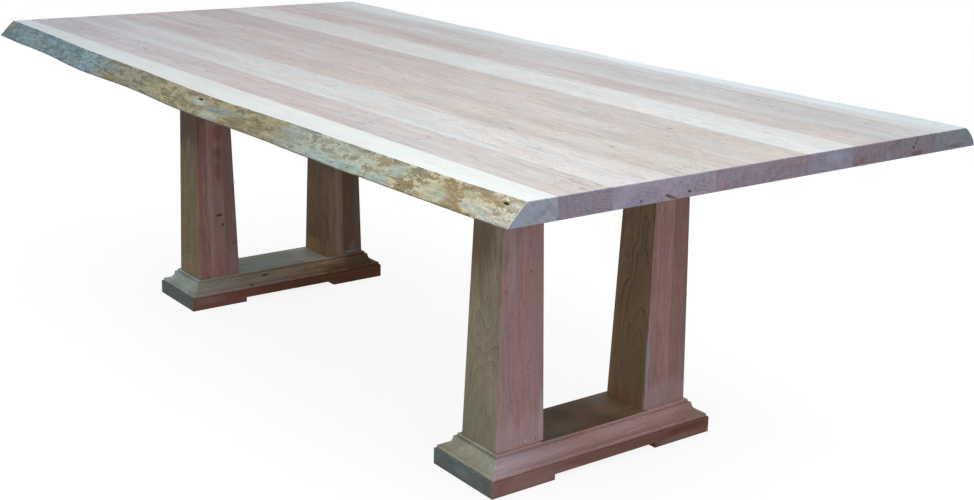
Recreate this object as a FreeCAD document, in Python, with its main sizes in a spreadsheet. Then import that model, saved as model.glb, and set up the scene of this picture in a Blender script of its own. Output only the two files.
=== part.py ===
import FreeCAD, Part
import math
import os
import re
import Sketcher
from FreeCAD import Rotation, Vector

# Double pedestal table with a live-edge top, in millimetres.
# +X runs along the tabletop, +Y across it and +Z up. The origin lies on the floor
# under the middle of the table. The near pedestal stands at +X, the far one at -X.

os.makedirs("parts", exist_ok=True)
doc = FreeCAD.newDocument("DoublePedestalTable")

# Driving dimensions
sizes = {
    # Whole table
    "table_height": 762,
    "top_length": 2438,
    "top_thickness": 40.5,
    "arris_ease": 1.2,
    "overrun": 5,
    # Tabletop boards from front to back; the two live-edge boards at their widest
    "front_board_width": 126,
    "board_2_width": 118,
    "board_3_width": 120,
    "board_4_width": 122,
    "board_5_width": 121,
    "board_6_width": 122,
    "board_7_width": 125,
    "board_8_width": 96,
    "board_9_width": 158,
    "back_board_width": 168,
    # Live edges: how far either arris of each edge bows and drifts over its length, how far
    # the upper arris lies inside the lower one, and the height of the waves in both
    "front_lower_bow": 26,
    "front_lower_drift": 18,
    "front_upper_bow": 26.5,
    "front_upper_drift": 23,
    "front_bevel": 37,
    "back_lower_bow": -29.5,
    "back_lower_drift": -37,
    "back_upper_bow": -28,
    "back_upper_drift": -17,
    "back_bevel": 33,
    "wave_height": 2.8,
    # Base of a pedestal: plinth with a notch that leaves two feet, and the moulded cap on it
    "pedestal_offset": 703.5,
    "plinth_length": 627.5,
    "plinth_width": 212.5,
    "plinth_height": 36.8,
    "plinth_ease": 1.5,
    "foot_length": 168,
    "notch_height": 12.8,
    "cap_ledge": 5,
    "cap_height": 32,
    "cove_radius": 25,
    "fillet_ledge": 6.5,
    "fillet_height": 7,
    # Columns: square and tapered on all four faces; glue lines are measured from the middle
    "column_offset": 208,
    "column_foot": 124.6,
    "column_head": 96.5,
    "near_front_glue_line": 0,
    "near_back_glue_line": 7.5,
    "far_front_glue_line": -10,
    "far_front_outer_glue_line": 23,
    "far_back_glue_line": -2,
    "foot_tenon": 76,
    "head_tenon": 60,
    "tenon_length": 24,
    # Cleats under the top; they run past the outermost screw by the end margin
    "cleat_end_margin": 47,
    "cleat_width": 130,
    "cleat_thickness": 32,
    "cleat_bevel": 18,
    # Lag screws up through the cleats into the boards
    "screw_diameter": 6,
    "screw_length": 52,
    "screw_point": 6,
    "screw_head_flats": 10,
    "screw_head_height": 4.5,
    "screw_washer_diameter": 22,
    "screw_washer_thickness": 2,
    "slot_travel": 10,
    # Lag bolts up from under the feet into the columns
    "bolt_diameter": 10,
    "bolt_length": 110,
    "bolt_point": 9,
    "bolt_head_flats": 17,
    "bolt_head_height": 7,
    "bolt_washer_diameter": 30,
    "bolt_washer_thickness": 2.5,
    "counterbore_diameter": 36,
    "counterbore_depth": 19,
    "hole_clearance": 1,
}

# Sizes that follow from the driving ones
derived = {
    "overall_width": "front_board_width + board_2_width + board_3_width + board_4_width + board_5_width"
                     " + board_6_width + board_7_width + board_8_width + board_9_width + back_board_width",
    "base_height": "plinth_height + cap_height + fillet_height",
    "top_underside": "table_height - top_thickness",
    "cleat_underside": "top_underside - cleat_thickness",
    "column_height": "cleat_underside - base_height",
    "cleat_length": "overall_width - 2 * front_board_width - board_2_width + 2 * cleat_end_margin",
    "notch_length": "plinth_length - 2 * foot_length",
    "cap_length": "plinth_length - 2 * cap_ledge",
    "cap_width": "plinth_width - 2 * cap_ledge",
    "fillet_length": "cap_length - 2 * (cove_radius + fillet_ledge)",
    "fillet_width": "cap_width - 2 * (cove_radius + fillet_ledge)",
    "screw_seat": "cleat_underside - screw_washer_thickness",
    "screw_pilot_depth": "screw_length - screw_washer_thickness - cleat_thickness",
    "slot_width": "screw_diameter + hole_clearance",
    "bolt_seat": "counterbore_depth - bolt_washer_thickness",
    "bolt_hole": "bolt_diameter + hole_clearance",
    "bolt_pilot_depth": "bolt_seat + bolt_length - base_height + tenon_length",
}

sheet = doc.addObject("Spreadsheet::Sheet", "Sizes")
for row, (alias, content) in enumerate({**sizes, **derived}.items(), start=1):
    sheet.set(f"A{row}", alias)
    sheet.set(f"B{row}", f"={content}" if alias in derived else str(content))
    sheet.setAlias(f"B{row}", alias)
doc.recompute()


def in_sheet(formula):
    """Turn a formula in the sheet's aliases into an expression for another object."""
    def name(match):
        word = match.group()
        return f"Sizes.{word}" if word in sizes or word in derived else word
    return re.sub(r"[a-z]\w*", name, formula)


def value(formula):
    """The present value of a formula."""
    return float(sheet.evalExpression(formula))


def bind(thing, **formulas):
    """Bind properties of an object to formulas; x, y and z stand for its place."""
    for name, formula in formulas.items():
        path = f"Placement.Base.{name}" if name in ("x", "y", "z") else name
        thing.setExpression(path, in_sheet(formula))


def new_body(label):
    """A body whose label names the sub-part."""
    body = doc.addObject("PartDesign::Body", label)
    body.Label = label
    return body


def new_sketch(body, plane, height="0"):
    """A sketch on one of the body's own planes, raised along the plane's normal."""
    sketch = body.newObject("Sketcher::SketchObject", "Sketch")
    origin_plane = next(item for item in body.Origin.OriginFeatures if item.Role == plane)
    sketch.AttachmentSupport = [(origin_plane, "")]
    sketch.MapMode = "FlatFace"
    sketch.setExpression("AttachmentOffset.Base.z", in_sheet(height))
    return sketch


def dimension(sketch, kind, places, formula):
    """A driving dimension of a sketch, bound to a formula."""
    index = sketch.addConstraint(Sketcher.Constraint(kind, *places, value(formula)))
    sketch.setExpression(f"Constraints[{index}]", in_sheet(formula))


def rectangle(sketch, width, height, left, bottom):
    """A rectangle from its lower left corner."""
    left_value, bottom_value = value(left), value(bottom)
    right_value, top_value = left_value + value(width), bottom_value + value(height)
    corners = [
        Vector(left_value, bottom_value),
        Vector(right_value, bottom_value),
        Vector(right_value, top_value),
        Vector(left_value, top_value),
    ]
    lines = [
        sketch.addGeometry(Part.LineSegment(corner, corners[(index + 1) % 4]))
        for index, corner in enumerate(corners)
    ]
    for index, line in enumerate(lines):
        sketch.addConstraint(Sketcher.Constraint("Coincident", line, 2, lines[(index + 1) % 4], 1))
        direction = "Horizontal" if index % 2 == 0 else "Vertical"
        sketch.addConstraint(Sketcher.Constraint(direction, line))
    dimension(sketch, "DistanceX", (lines[0], 1, lines[0], 2), width)
    dimension(sketch, "DistanceY", (lines[1], 1, lines[1], 2), height)
    dimension(sketch, "DistanceX", (-1, 1, lines[0], 1), left)
    dimension(sketch, "DistanceY", (-1, 1, lines[0], 1), bottom)


def centred_rectangle(sketch, width, height, middle="0"):
    """A rectangle centred across the sketch and at a height on it."""
    rectangle(sketch, width, height, f"-({width}) / 2", f"{middle} - ({height}) / 2")


def circle(sketch, diameter, across, up):
    """A circle from the place of its centre."""
    centre = Vector(value(across), value(up))
    round_hole = sketch.addGeometry(Part.Circle(centre, Vector(0, 0, 1), value(diameter) / 2))
    dimension(sketch, "Diameter", (round_hole,), diameter)
    dimension(sketch, "DistanceX", (-1, 1, round_hole, 3), across)
    dimension(sketch, "DistanceY", (-1, 1, round_hole, 3), up)


def slot(sketch, width, travel, middle):
    """A round-ended slot that runs up the sketch, centred across it."""
    radius, reach, centre = value(width) / 2, value(travel) / 2, value(middle)
    normal = Vector(0, 0, 1)
    lower_circle = Part.Circle(Vector(0, centre - reach), normal, radius)
    upper_circle = Part.Circle(Vector(0, centre + reach), normal, radius)
    lower = sketch.addGeometry(Part.ArcOfCircle(lower_circle, math.pi, 2 * math.pi))
    upper = sketch.addGeometry(Part.ArcOfCircle(upper_circle, 0, math.pi))
    right = sketch.addGeometry(
        Part.LineSegment(Vector(radius, centre - reach), Vector(radius, centre + reach)))
    left = sketch.addGeometry(
        Part.LineSegment(Vector(-radius, centre + reach), Vector(-radius, centre - reach)))
    for first, second in ((lower, right), (right, upper), (upper, left), (left, lower)):
        sketch.addConstraint(Sketcher.Constraint("Tangent", first, 2, second, 1))
    for arc, side in ((lower, "-"), (upper, "+")):
        dimension(sketch, "Diameter", (arc,), width)
        dimension(sketch, "DistanceX", (-1, 1, arc, 3), "0")
        dimension(sketch, "DistanceY", (-1, 1, arc, 3), f"{middle} {side} {travel} / 2")


def pad(body, sketch, length):
    """Pad a sketch upwards."""
    feature = body.newObject("PartDesign::Pad", "Pad")
    feature.Profile = sketch
    bind(feature, Length=length)
    body.Tip = feature
    return feature


def pocket(body, sketch, depth=None, upwards=False, both_ways=False):
    """Cut a sketch into the body to a depth, or right through it where no depth is given."""
    feature = body.newObject("PartDesign::Pocket", "Pocket")
    feature.Profile = sketch
    feature.Reversed = upwards
    if both_ways:
        feature.SideType = "Symmetric"
    if depth is None:
        feature.Type = "ThroughAll"
    else:
        bind(feature, Length=depth)
    body.Tip = feature
    return feature


def ease(body, base, kind, size, choose):
    """Chamfer or fillet the chosen edges of the body."""
    doc.recompute()
    names = [f"Edge{n}" for n, edge in enumerate(base.Shape.Edges, start=1) if choose(edge)]
    feature = body.newObject(f"PartDesign::{kind}", kind)
    feature.Base = (base, names)
    bind(feature, **{"Radius" if kind == "Fillet" else "Size": size})
    body.Tip = feature
    return feature


def runs_along(edge, direction):
    """Whether an edge is straight and parallel to a direction."""
    if len(edge.Vertexes) < 2 or edge.Curve.TypeId != "Part::GeomLine":
        return False
    return abs(edge.Curve.Direction.dot(direction)) > 0.999


def primitive(kind, label, **formulas):
    """A Part primitive with its sizes and place bound."""
    thing = doc.addObject(f"Part::{kind}", label)
    bind(thing, **formulas)
    return thing


# Inner boards of the tabletop
# Straight boards glued edge to edge, each with pilot holes for its screw from either cleat.
inner_boards = [f"board_{number}" for number in range(2, 10)]
screwed_boards = ["board_2", "board_3", "board_5", "board_6", "board_9"]


def joint_before(board):
    """The place of the glue line in front of a board, as a formula."""
    widths = [f"{name}_width" for name in inner_boards[:inner_boards.index(board)]]
    return " + ".join(["-overall_width / 2", "front_board_width"] + widths)


def middle_of(board):
    """The place of a board's middle across the table, as a formula."""
    return f"{joint_before(board)} + {board}_width / 2"


def inner_board(board):
    """One straight board of the top."""
    body = new_body(f"top_{board}")
    outline = new_sketch(body, "XY_Plane")
    rectangle(outline, "top_length", f"{board}_width", "-top_length / 2", "0")
    shape = pad(body, outline, "top_thickness")
    if board in screwed_boards:
        pilots = new_sketch(body, "XY_Plane")
        for side in ("", "-"):
            circle(pilots, "screw_diameter", f"{side}pedestal_offset", f"{board}_width / 2")
        shape = pocket(body, pilots, "screw_pilot_depth", upwards=True)
    ease(body, shape, "Chamfer", "arris_ease", lambda edge: runs_along(edge, Vector(0, 1, 0)))
    bind(body, y=joint_before(board), z="top_underside")
    return body


# Outer boards of the tabletop
# The natural edge of the tree: a bevelled, wavy surface between two wandering arrises.
# The wave shares are cycles over the length and the start of a cycle, for each of two waves.
front_lower_wave_shares = ((3.25, 0.02), (4.25, 0.13))
front_upper_wave_shares = ((1.5, 0.16), (3.25, 0.03))
back_lower_wave_shares = ((1.6, 0.30), (5.3, 0.60))
back_upper_wave_shares = ((5.0, 0.17), (6.75, 0.24))
# The bevel shares are how much of the bevel is left at each depth: the front edge is nearly
# flat, the back one rounder.
depth_shares = (0.0, 0.3, 0.65, 0.87, 1.0)
front_bevel_shares = (1.0, 0.67, 0.31, 0.10, 0.0)
back_bevel_shares = (1.0, 0.52, 0.16, 0.02, 0.0)
station_count = 33


def wandering(share, arris, wave_shares):
    """How far an arris stands out at a share of the length, from -0.5 to 0.5."""
    waves = sum(math.sin(2 * math.pi * (cycles * share + start)) for cycles, start in wave_shares)
    drift = value(f"{arris}_drift") * share
    bow = value(f"{arris}_bow") * (2 * share) ** 2
    return drift - bow + value("wave_height") * waves


def live_edge_board(edge, side, joint, lower_wave_shares, upper_wave_shares, bevel_shares):
    """One outer board, from its glue line at y = 0 outwards to the live edge."""
    length, thickness = value("top_length"), value("top_thickness")
    board_reach = value(f"{edge}_board_width")
    shares = [station / (station_count - 1) - 0.5 for station in range(station_count)]
    lower = [wandering(share, f"{edge}_lower", lower_wave_shares) for share in shares]
    upper = [wandering(share, f"{edge}_upper", upper_wave_shares) for share in shares]
    rows = []
    for share, low, high in zip(shares, lower, upper):
        outer = board_reach - max(lower) + low
        bevel = value(f"{edge}_bevel") + low - high
        rows.append([
            Vector(length * share, side * (outer - bevel * inset), thickness * (1 - depth))
            for depth, inset in zip(depth_shares, bevel_shares)
        ])
    surface = Part.BSplineSurface()
    surface.interpolate(rows)
    live_face = surface.toShape()

    def corner(share, up):
        return Vector(length * share, 0, up)

    def between(start, end):
        return Part.makeLine(start, end)

    faces = [live_face]
    for up, column in ((thickness, 0), (0, -1)):
        arris = next(
            item for item in live_face.Edges
            if all(abs(vertex.Z - up) < 1e-6 * thickness for vertex in item.Vertexes))
        faces.append(Part.Face(Part.Wire(Part.__sortEdges__([
            arris,
            between(rows[-1][column], corner(0.5, up)),
            between(corner(0.5, up), corner(-0.5, up)),
            between(corner(-0.5, up), rows[0][column]),
        ]))))
    for share, row in ((-0.5, rows[0]), (0.5, rows[-1])):
        profile = next(
            item for item in live_face.Edges
            if all(abs(vertex.X - length * share) < 1e-6 * length for vertex in item.Vertexes))
        faces.append(Part.Face(Part.Wire(Part.__sortEdges__([
            profile,
            between(row[-1], corner(share, 0)),
            between(corner(share, 0), corner(share, thickness)),
            between(corner(share, thickness), row[0]),
        ]))))
    faces.append(Part.Face(Part.makePolygon([
        corner(-0.5, 0), corner(0.5, 0), corner(0.5, thickness), corner(-0.5, thickness), corner(-0.5, 0)])))
    shell = Part.Shell(faces)
    shell.sewShape()
    solid = Part.Solid(shell)
    for end in (-1, 1):
        for up, inwards in ((0, 1), (thickness, -1)):
            arris = Vector(end * length / 2, -side * value("overrun"), up)
            back_along = arris - Vector(end * value("arris_ease"), 0, 0)
            down_end = arris + Vector(0, 0, inwards * value("arris_ease"))
            sliver = Part.Face(Part.makePolygon([arris, back_along, down_end, arris]))
            across = Vector(0, side * (board_reach + 2 * value("overrun")), 0)
            solid = solid.cut(sliver.extrude(across))
    board = doc.addObject("Part::Feature", f"{edge}_live_edge_board")
    board.Label = f"{edge}_live_edge_board"
    board.Shape = solid
    bind(board, y=joint, z="top_underside")
    return board


# Plinths
# The lower board of a base. A shallow notch under the middle leaves a foot at either end;
# each foot has a counterbored hole for the bolt into the column above.
def plinth(pedestal, pedestal_place):
    """The lower board of one base."""
    body = new_body(f"{pedestal}_plinth")
    outline = new_sketch(body, "XY_Plane")
    centred_rectangle(outline, "plinth_width", "plinth_length")
    block = pad(body, outline, "plinth_height")

    def upright_or_upper(edge):
        return edge.CenterOfMass.z > value("plinth_height") / 4

    ease(body, block, "Fillet", "plinth_ease", upright_or_upper)
    notch = new_sketch(body, "XY_Plane")
    centred_rectangle(notch, "plinth_width + 2 * overrun", "notch_length")
    pocket(body, notch, "notch_height", upwards=True)
    recesses = new_sketch(body, "XY_Plane")
    bolt_holes = new_sketch(body, "XY_Plane")
    for side in ("", "-"):
        circle(recesses, "counterbore_diameter", "0", f"{side}column_offset")
        circle(bolt_holes, "bolt_hole", "0", f"{side}column_offset")
    pocket(body, recesses, "counterbore_depth", upwards=True)
    pocket(body, bolt_holes, upwards=True)
    bind(body, x=pedestal_place)
    return body


# Moulded caps
# The upper board of a base: a ledge, a cove and a fillet are worked round all four edges,
# and two mortises take the feet of the columns.
def moulded_cap(pedestal, pedestal_place):
    """The upper board of one base."""
    body = new_body(f"{pedestal}_moulded_cap")
    outline = new_sketch(body, "XY_Plane")
    centred_rectangle(outline, "cap_width", "cap_length")
    pad(body, outline, "cap_height")
    fillet = new_sketch(body, "XY_Plane", "cap_height")
    centred_rectangle(fillet, "fillet_width", "fillet_length")
    pad(body, fillet, "fillet_height")
    for plane, across in (("XZ_Plane", "cap_width"), ("YZ_Plane", "cap_length")):
        coves = new_sketch(body, plane)
        for side in ("", "-"):
            circle(coves, "2 * cove_radius", f"{side}{across} / 2", "cap_height")
        pocket(body, coves, both_ways=True)
    mortises = new_sketch(body, "XY_Plane", "cap_height + fillet_height")
    bolt_holes = new_sketch(body, "XY_Plane")
    for side in ("", "-"):
        centred_rectangle(mortises, "foot_tenon", "foot_tenon", f"{side}column_offset")
        circle(bolt_holes, "bolt_hole", "0", f"{side}column_offset")
    pocket(body, mortises, "tenon_length")
    pocket(body, bolt_holes, upwards=True)
    bind(body, x=pedestal_place, z="plinth_height")
    return body


# Columns
# Each column is glued up from upright staves and then tapered on all four faces.
# A tenon at either end is shared by its staves, and the bolt from below runs up its middle.
def stave(label, pedestal_place, column_place, front, back):
    """One stave, between two glue lines; None stands for an outer face of the column."""
    front_foot = front or "-column_foot / 2"
    front_head = front or "-column_head / 2"
    back_foot = back or "column_foot / 2"
    back_head = back or "column_head / 2"
    wedge = primitive(
        "Wedge", f"{label}_taper",
        Xmin=front_foot, Xmax=back_foot, X2min=front_head, X2max=back_head,
        Ymin="0", Ymax="column_height",
        Zmin="-column_foot / 2", Zmax="column_foot / 2",
        Z2min="-column_head / 2", Z2max="column_head / 2",
    )
    wedge.Placement.Rotation = Rotation(Vector(1, 1, 1), 120)
    pieces = [wedge]
    for tenon, up in (("foot_tenon", "-tenon_length"), ("head_tenon", "column_height")):
        low = f"max({front_foot}; -{tenon} / 2)"
        high = f"min({back_foot}; {tenon} / 2)"
        pieces.append(primitive(
            "Box", f"{label}_{tenon}",
            Length=tenon, Width=f"{high} - {low}", Height="tenon_length",
            x=f"-{tenon} / 2", y=low, z=up,
        ))
    solid_stave = doc.addObject("Part::MultiFuse", f"{label}_solid")
    solid_stave.Shapes = pieces
    pilot = primitive(
        "Cylinder", f"{label}_pilot",
        Radius="bolt_diameter / 2", Height="bolt_pilot_depth", z="-tenon_length",
    )
    drilled = doc.addObject("Part::Cut", label)
    drilled.Label = label
    drilled.Base = solid_stave
    drilled.Tool = pilot
    bind(drilled, x=pedestal_place, y=column_place, z="base_height")
    return drilled


def column(name, pedestal_place, column_place, glue_lines):
    """All staves of one column, counted from the front."""
    bounds = [None] + glue_lines + [None]
    return [
        stave(f"{name}_column_stave_{number}", pedestal_place, column_place, front, back)
        for number, (front, back) in enumerate(zip(bounds, bounds[1:]), start=1)
    ]


# Cleats
# A bearer under the top, across its boards, holds the heads of both columns and keeps the
# glued top flat. The screw slots run across the boards, so that the top can swell and shrink.
def cleat(pedestal, pedestal_place):
    """The cleat of one pedestal."""
    body = new_body(f"{pedestal}_top_cleat")
    outline = new_sketch(body, "XY_Plane")
    centred_rectangle(outline, "cleat_width", "cleat_length")
    bar = pad(body, outline, "cleat_thickness")

    def under_an_end(edge):
        return runs_along(edge, Vector(1, 0, 0)) and edge.CenterOfMass.z < value("cleat_thickness") / 2

    ease(body, bar, "Chamfer", "cleat_bevel", under_an_end)
    mortises = new_sketch(body, "XY_Plane")
    for side in ("", "-"):
        centred_rectangle(mortises, "head_tenon", "head_tenon", f"{side}column_offset")
    pocket(body, mortises, "tenon_length", upwards=True)
    slots = new_sketch(body, "XY_Plane")
    for board in screwed_boards:
        slot(slots, "slot_width", "slot_travel", middle_of(board))
    pocket(body, slots, upwards=True)
    bind(body, x=pedestal_place, z="cleat_underside")
    return body


# Fasteners
# Hexagon-headed lag screws with flat washers. Each group is one node of separate solids.
def lag_screw(label, kind):
    """A lag screw that points up, with the bearing face of its head at z = 0."""
    head = primitive(
        "Prism", f"{label}_head",
        Circumradius=f"{kind}_head_flats / sqrt(3)", Height=f"{kind}_head_height",
        z=f"-{kind}_head_height",
    )
    head.Polygon = 6
    shank = primitive(
        "Cylinder", f"{label}_shank",
        Radius=f"{kind}_diameter / 2", Height=f"{kind}_length - {kind}_point",
    )
    point = primitive(
        "Cone", f"{label}_point",
        Radius1=f"{kind}_diameter / 2", Height=f"{kind}_point", z=f"{kind}_length - {kind}_point",
    )
    point.Radius2 = 0
    screw = doc.addObject("Part::MultiFuse", label)
    screw.Shapes = [head, shank, point]
    return screw


def washer(label, kind):
    """A flat washer on z = 0."""
    disc = primitive(
        "Cylinder", f"{label}_disc",
        Radius=f"{kind}_washer_diameter / 2", Height=f"{kind}_washer_thickness",
    )
    hole = primitive(
        "Cylinder", f"{label}_hole",
        Radius=f"({kind}_diameter + hole_clearance) / 2",
        Height=f"{kind}_washer_thickness + 2 * overrun", z="-overrun",
    )
    ring = doc.addObject("Part::Cut", label)
    ring.Base = disc
    ring.Tool = hole
    return ring


def fastener_group(label, make, kind, pedestal_place, places, seat):
    """A node of like fasteners at several places across the table."""
    members = []
    for number, place in enumerate(places, start=1):
        member = make(f"{label}_{number}", kind)
        bind(member, x=pedestal_place, y=place, z=seat)
        members.append(member)
    group = doc.addObject("Part::Compound", label)
    group.Label = label
    group.Links = members
    return group


# Assembly
nodes = [inner_board(board) for board in inner_boards]
nodes.append(live_edge_board(
    "front", -1, joint_before("board_2"),
    front_lower_wave_shares, front_upper_wave_shares, front_bevel_shares))
nodes.append(live_edge_board(
    "back", 1, f"{joint_before('board_9')} + board_9_width",
    back_lower_wave_shares, back_upper_wave_shares, back_bevel_shares))

glue_lines = {
    "near_front": ["near_front_glue_line"],
    "near_back": ["near_back_glue_line"],
    "far_front": ["far_front_glue_line", "far_front_outer_glue_line"],
    "far_back": ["far_back_glue_line"],
}
screw_places = [middle_of(board) for board in screwed_boards]
column_places = {"front": "-column_offset", "back": "column_offset"}
for pedestal, pedestal_place in (("near", "pedestal_offset"), ("far", "-pedestal_offset")):
    nodes.append(plinth(pedestal, pedestal_place))
    nodes.append(moulded_cap(pedestal, pedestal_place))
    for side, column_place in column_places.items():
        name = f"{pedestal}_{side}"
        nodes += column(name, pedestal_place, column_place, glue_lines[name])
    nodes.append(cleat(pedestal, pedestal_place))
    bolt_places = list(column_places.values())
    nodes.append(fastener_group(
        f"{pedestal}_cleat_screws", lag_screw, "screw", pedestal_place, screw_places, "screw_seat"))
    nodes.append(fastener_group(
        f"{pedestal}_cleat_washers", washer, "screw", pedestal_place, screw_places, "screw_seat"))
    nodes.append(fastener_group(
        f"{pedestal}_column_bolts", lag_screw, "bolt", pedestal_place, bolt_places, "bolt_seat"))
    nodes.append(fastener_group(
        f"{pedestal}_bolt_washers", washer, "bolt", pedestal_place, bolt_places, "bolt_seat"))
doc.recompute()

# Checks and export
for item in doc.Objects:
    faults = [state for state in item.State if state in ("Invalid", "Error")]
    assert not faults, f"{item.Label} is {faults}"
for node in nodes:
    shape = node.Shape
    assert not shape.isNull() and shape.isValid(), f"{node.Label} has no valid shape"
    assert shape.Volume > 0, f"{node.Label} has no volume"
    shape.exportStep(f"parts/{node.Label}.step")
    box = shape.BoundBox
    print(f"{node.Label}: {len(shape.Solids)} solids, {shape.Volume / 1000:.1f} cm3, "
          f"x {box.XMin:.1f} to {box.XMax:.1f}, y {box.YMin:.1f} to {box.YMax:.1f}, "
          f"z {box.ZMin:.1f} to {box.ZMax:.1f}")
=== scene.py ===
import math

import bmesh
import bpy
from mathutils import Matrix, Vector, noise


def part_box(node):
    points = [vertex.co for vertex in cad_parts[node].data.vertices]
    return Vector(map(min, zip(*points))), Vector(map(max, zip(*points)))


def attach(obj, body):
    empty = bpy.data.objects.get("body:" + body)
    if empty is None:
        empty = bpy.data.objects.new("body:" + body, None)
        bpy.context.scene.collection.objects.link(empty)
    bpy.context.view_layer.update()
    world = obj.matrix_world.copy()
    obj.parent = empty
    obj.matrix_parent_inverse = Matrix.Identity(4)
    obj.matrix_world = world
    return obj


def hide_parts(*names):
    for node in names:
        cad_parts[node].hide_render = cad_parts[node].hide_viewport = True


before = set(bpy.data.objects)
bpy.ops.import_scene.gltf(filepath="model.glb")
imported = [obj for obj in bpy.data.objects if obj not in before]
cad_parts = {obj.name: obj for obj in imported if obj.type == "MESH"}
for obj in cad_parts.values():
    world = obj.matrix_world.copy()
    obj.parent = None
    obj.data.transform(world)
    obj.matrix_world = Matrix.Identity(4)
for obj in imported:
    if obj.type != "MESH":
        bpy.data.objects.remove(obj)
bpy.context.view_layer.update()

# The tabletop's length, thickness and height, and the place of each pedestal along it, in metres
LENGTH, THICKNESS, TOP = 2.438, 0.0405, 0.762
PEDESTALS = {"near": 0.7035, "far": -0.7035}


# Plinths
# The lower board of each base is solid cherry that runs across the table, planed and left
# unfinished. Its arrises are eased, and its ends show dark, weathered end grain.
class Recipe:
    """A node tree written one step after another; each step returns its result."""

    def __init__(self, tree):
        self.tree = tree

    def give(self, node, fed):
        """Each input takes the result of another step or a plain value; a colour is a triple."""
        for name, source in dict(fed).items():
            socket = node.inputs[name]
            if isinstance(source, bpy.types.NodeSocket):
                self.tree.links.new(source, socket)
            else:
                socket.default_value = (*source, 1.0) if socket.type == "RGBA" else source

    def step(self, kind, result=0, fed=(), **settings):
        node = self.tree.nodes.new(kind)
        for name, setting in settings.items():
            setattr(node, name, setting)
        self.give(node, fed)
        return node.outputs[result] if len(node.outputs) else node

    def sum(self, operation, *terms):
        return self.step("ShaderNodeMath", fed=enumerate(terms), operation=operation)

    def add(self, *terms):
        total = terms[0]
        for term in terms[1:]:
            total = self.sum("ADD", total, term)
        return total

    def times(self, *terms):
        product = terms[0]
        for term in terms[1:]:
            product = self.sum("MULTIPLY", product, term)
        return product

    def unsigned(self, value):
        return self.sum("ABSOLUTE", value)

    def less(self, value, other):
        return self.sum("SUBTRACT", value, other)

    def vector(self, operation, *terms, result=0):
        return self.step("ShaderNodeVectorMath", result, enumerate(terms), operation=operation)

    def parts(self, vector):
        return tuple(self.step("ShaderNodeSeparateXYZ", fed={0: vector}).node.outputs)

    def join(self, x, y, z):
        return self.step("ShaderNodeCombineXYZ", fed={0: x, 1: y, 2: z})

    def noise(self, place, scale, detail=2.0, roughness=0.5, distortion=0.0, result=0):
        return self.step("ShaderNodeTexNoise", result, {
            "Vector": self.vector("MULTIPLY", place, scale), "Scale": 1.0, "Detail": detail,
            "Roughness": roughness, "Distortion": distortion})

    def swing(self, *place_and_scale):
        """Noise that swings about zero."""
        return self.less(self.noise(*place_and_scale), 0.5)

    def between(self, value, low, high, out_low=0.0, out_high=1.0, kind="SMOOTHSTEP"):
        return self.step("ShaderNodeMapRange", fed={
            0: value, 1: low, 2: high, 3: out_low, 4: out_high}, interpolation_type=kind)

    def mix(self, share, first, second, blend="MIX"):
        return self.step("ShaderNodeMix", 2, {0: share, 6: first, 7: second},
                         data_type="RGBA", blend_type=blend)

    def product(self, tone, colour):
        return self.mix(1.0, tone, colour, "MULTIPLY")

    def tint(self, share, tone, colour):
        """The tone, multiplied by a colour as far as the share says."""
        return self.mix(share, tone, self.product(tone, colour))

    def reach(self, place, centre, radii):
        """How far a place lies from a centre, in radii."""
        inverse = tuple(1 / radius for radius in radii)
        away = self.vector("MULTIPLY", self.vector("SUBTRACT", place, centre), inverse)
        return self.vector("LENGTH", away, result=1)


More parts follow.
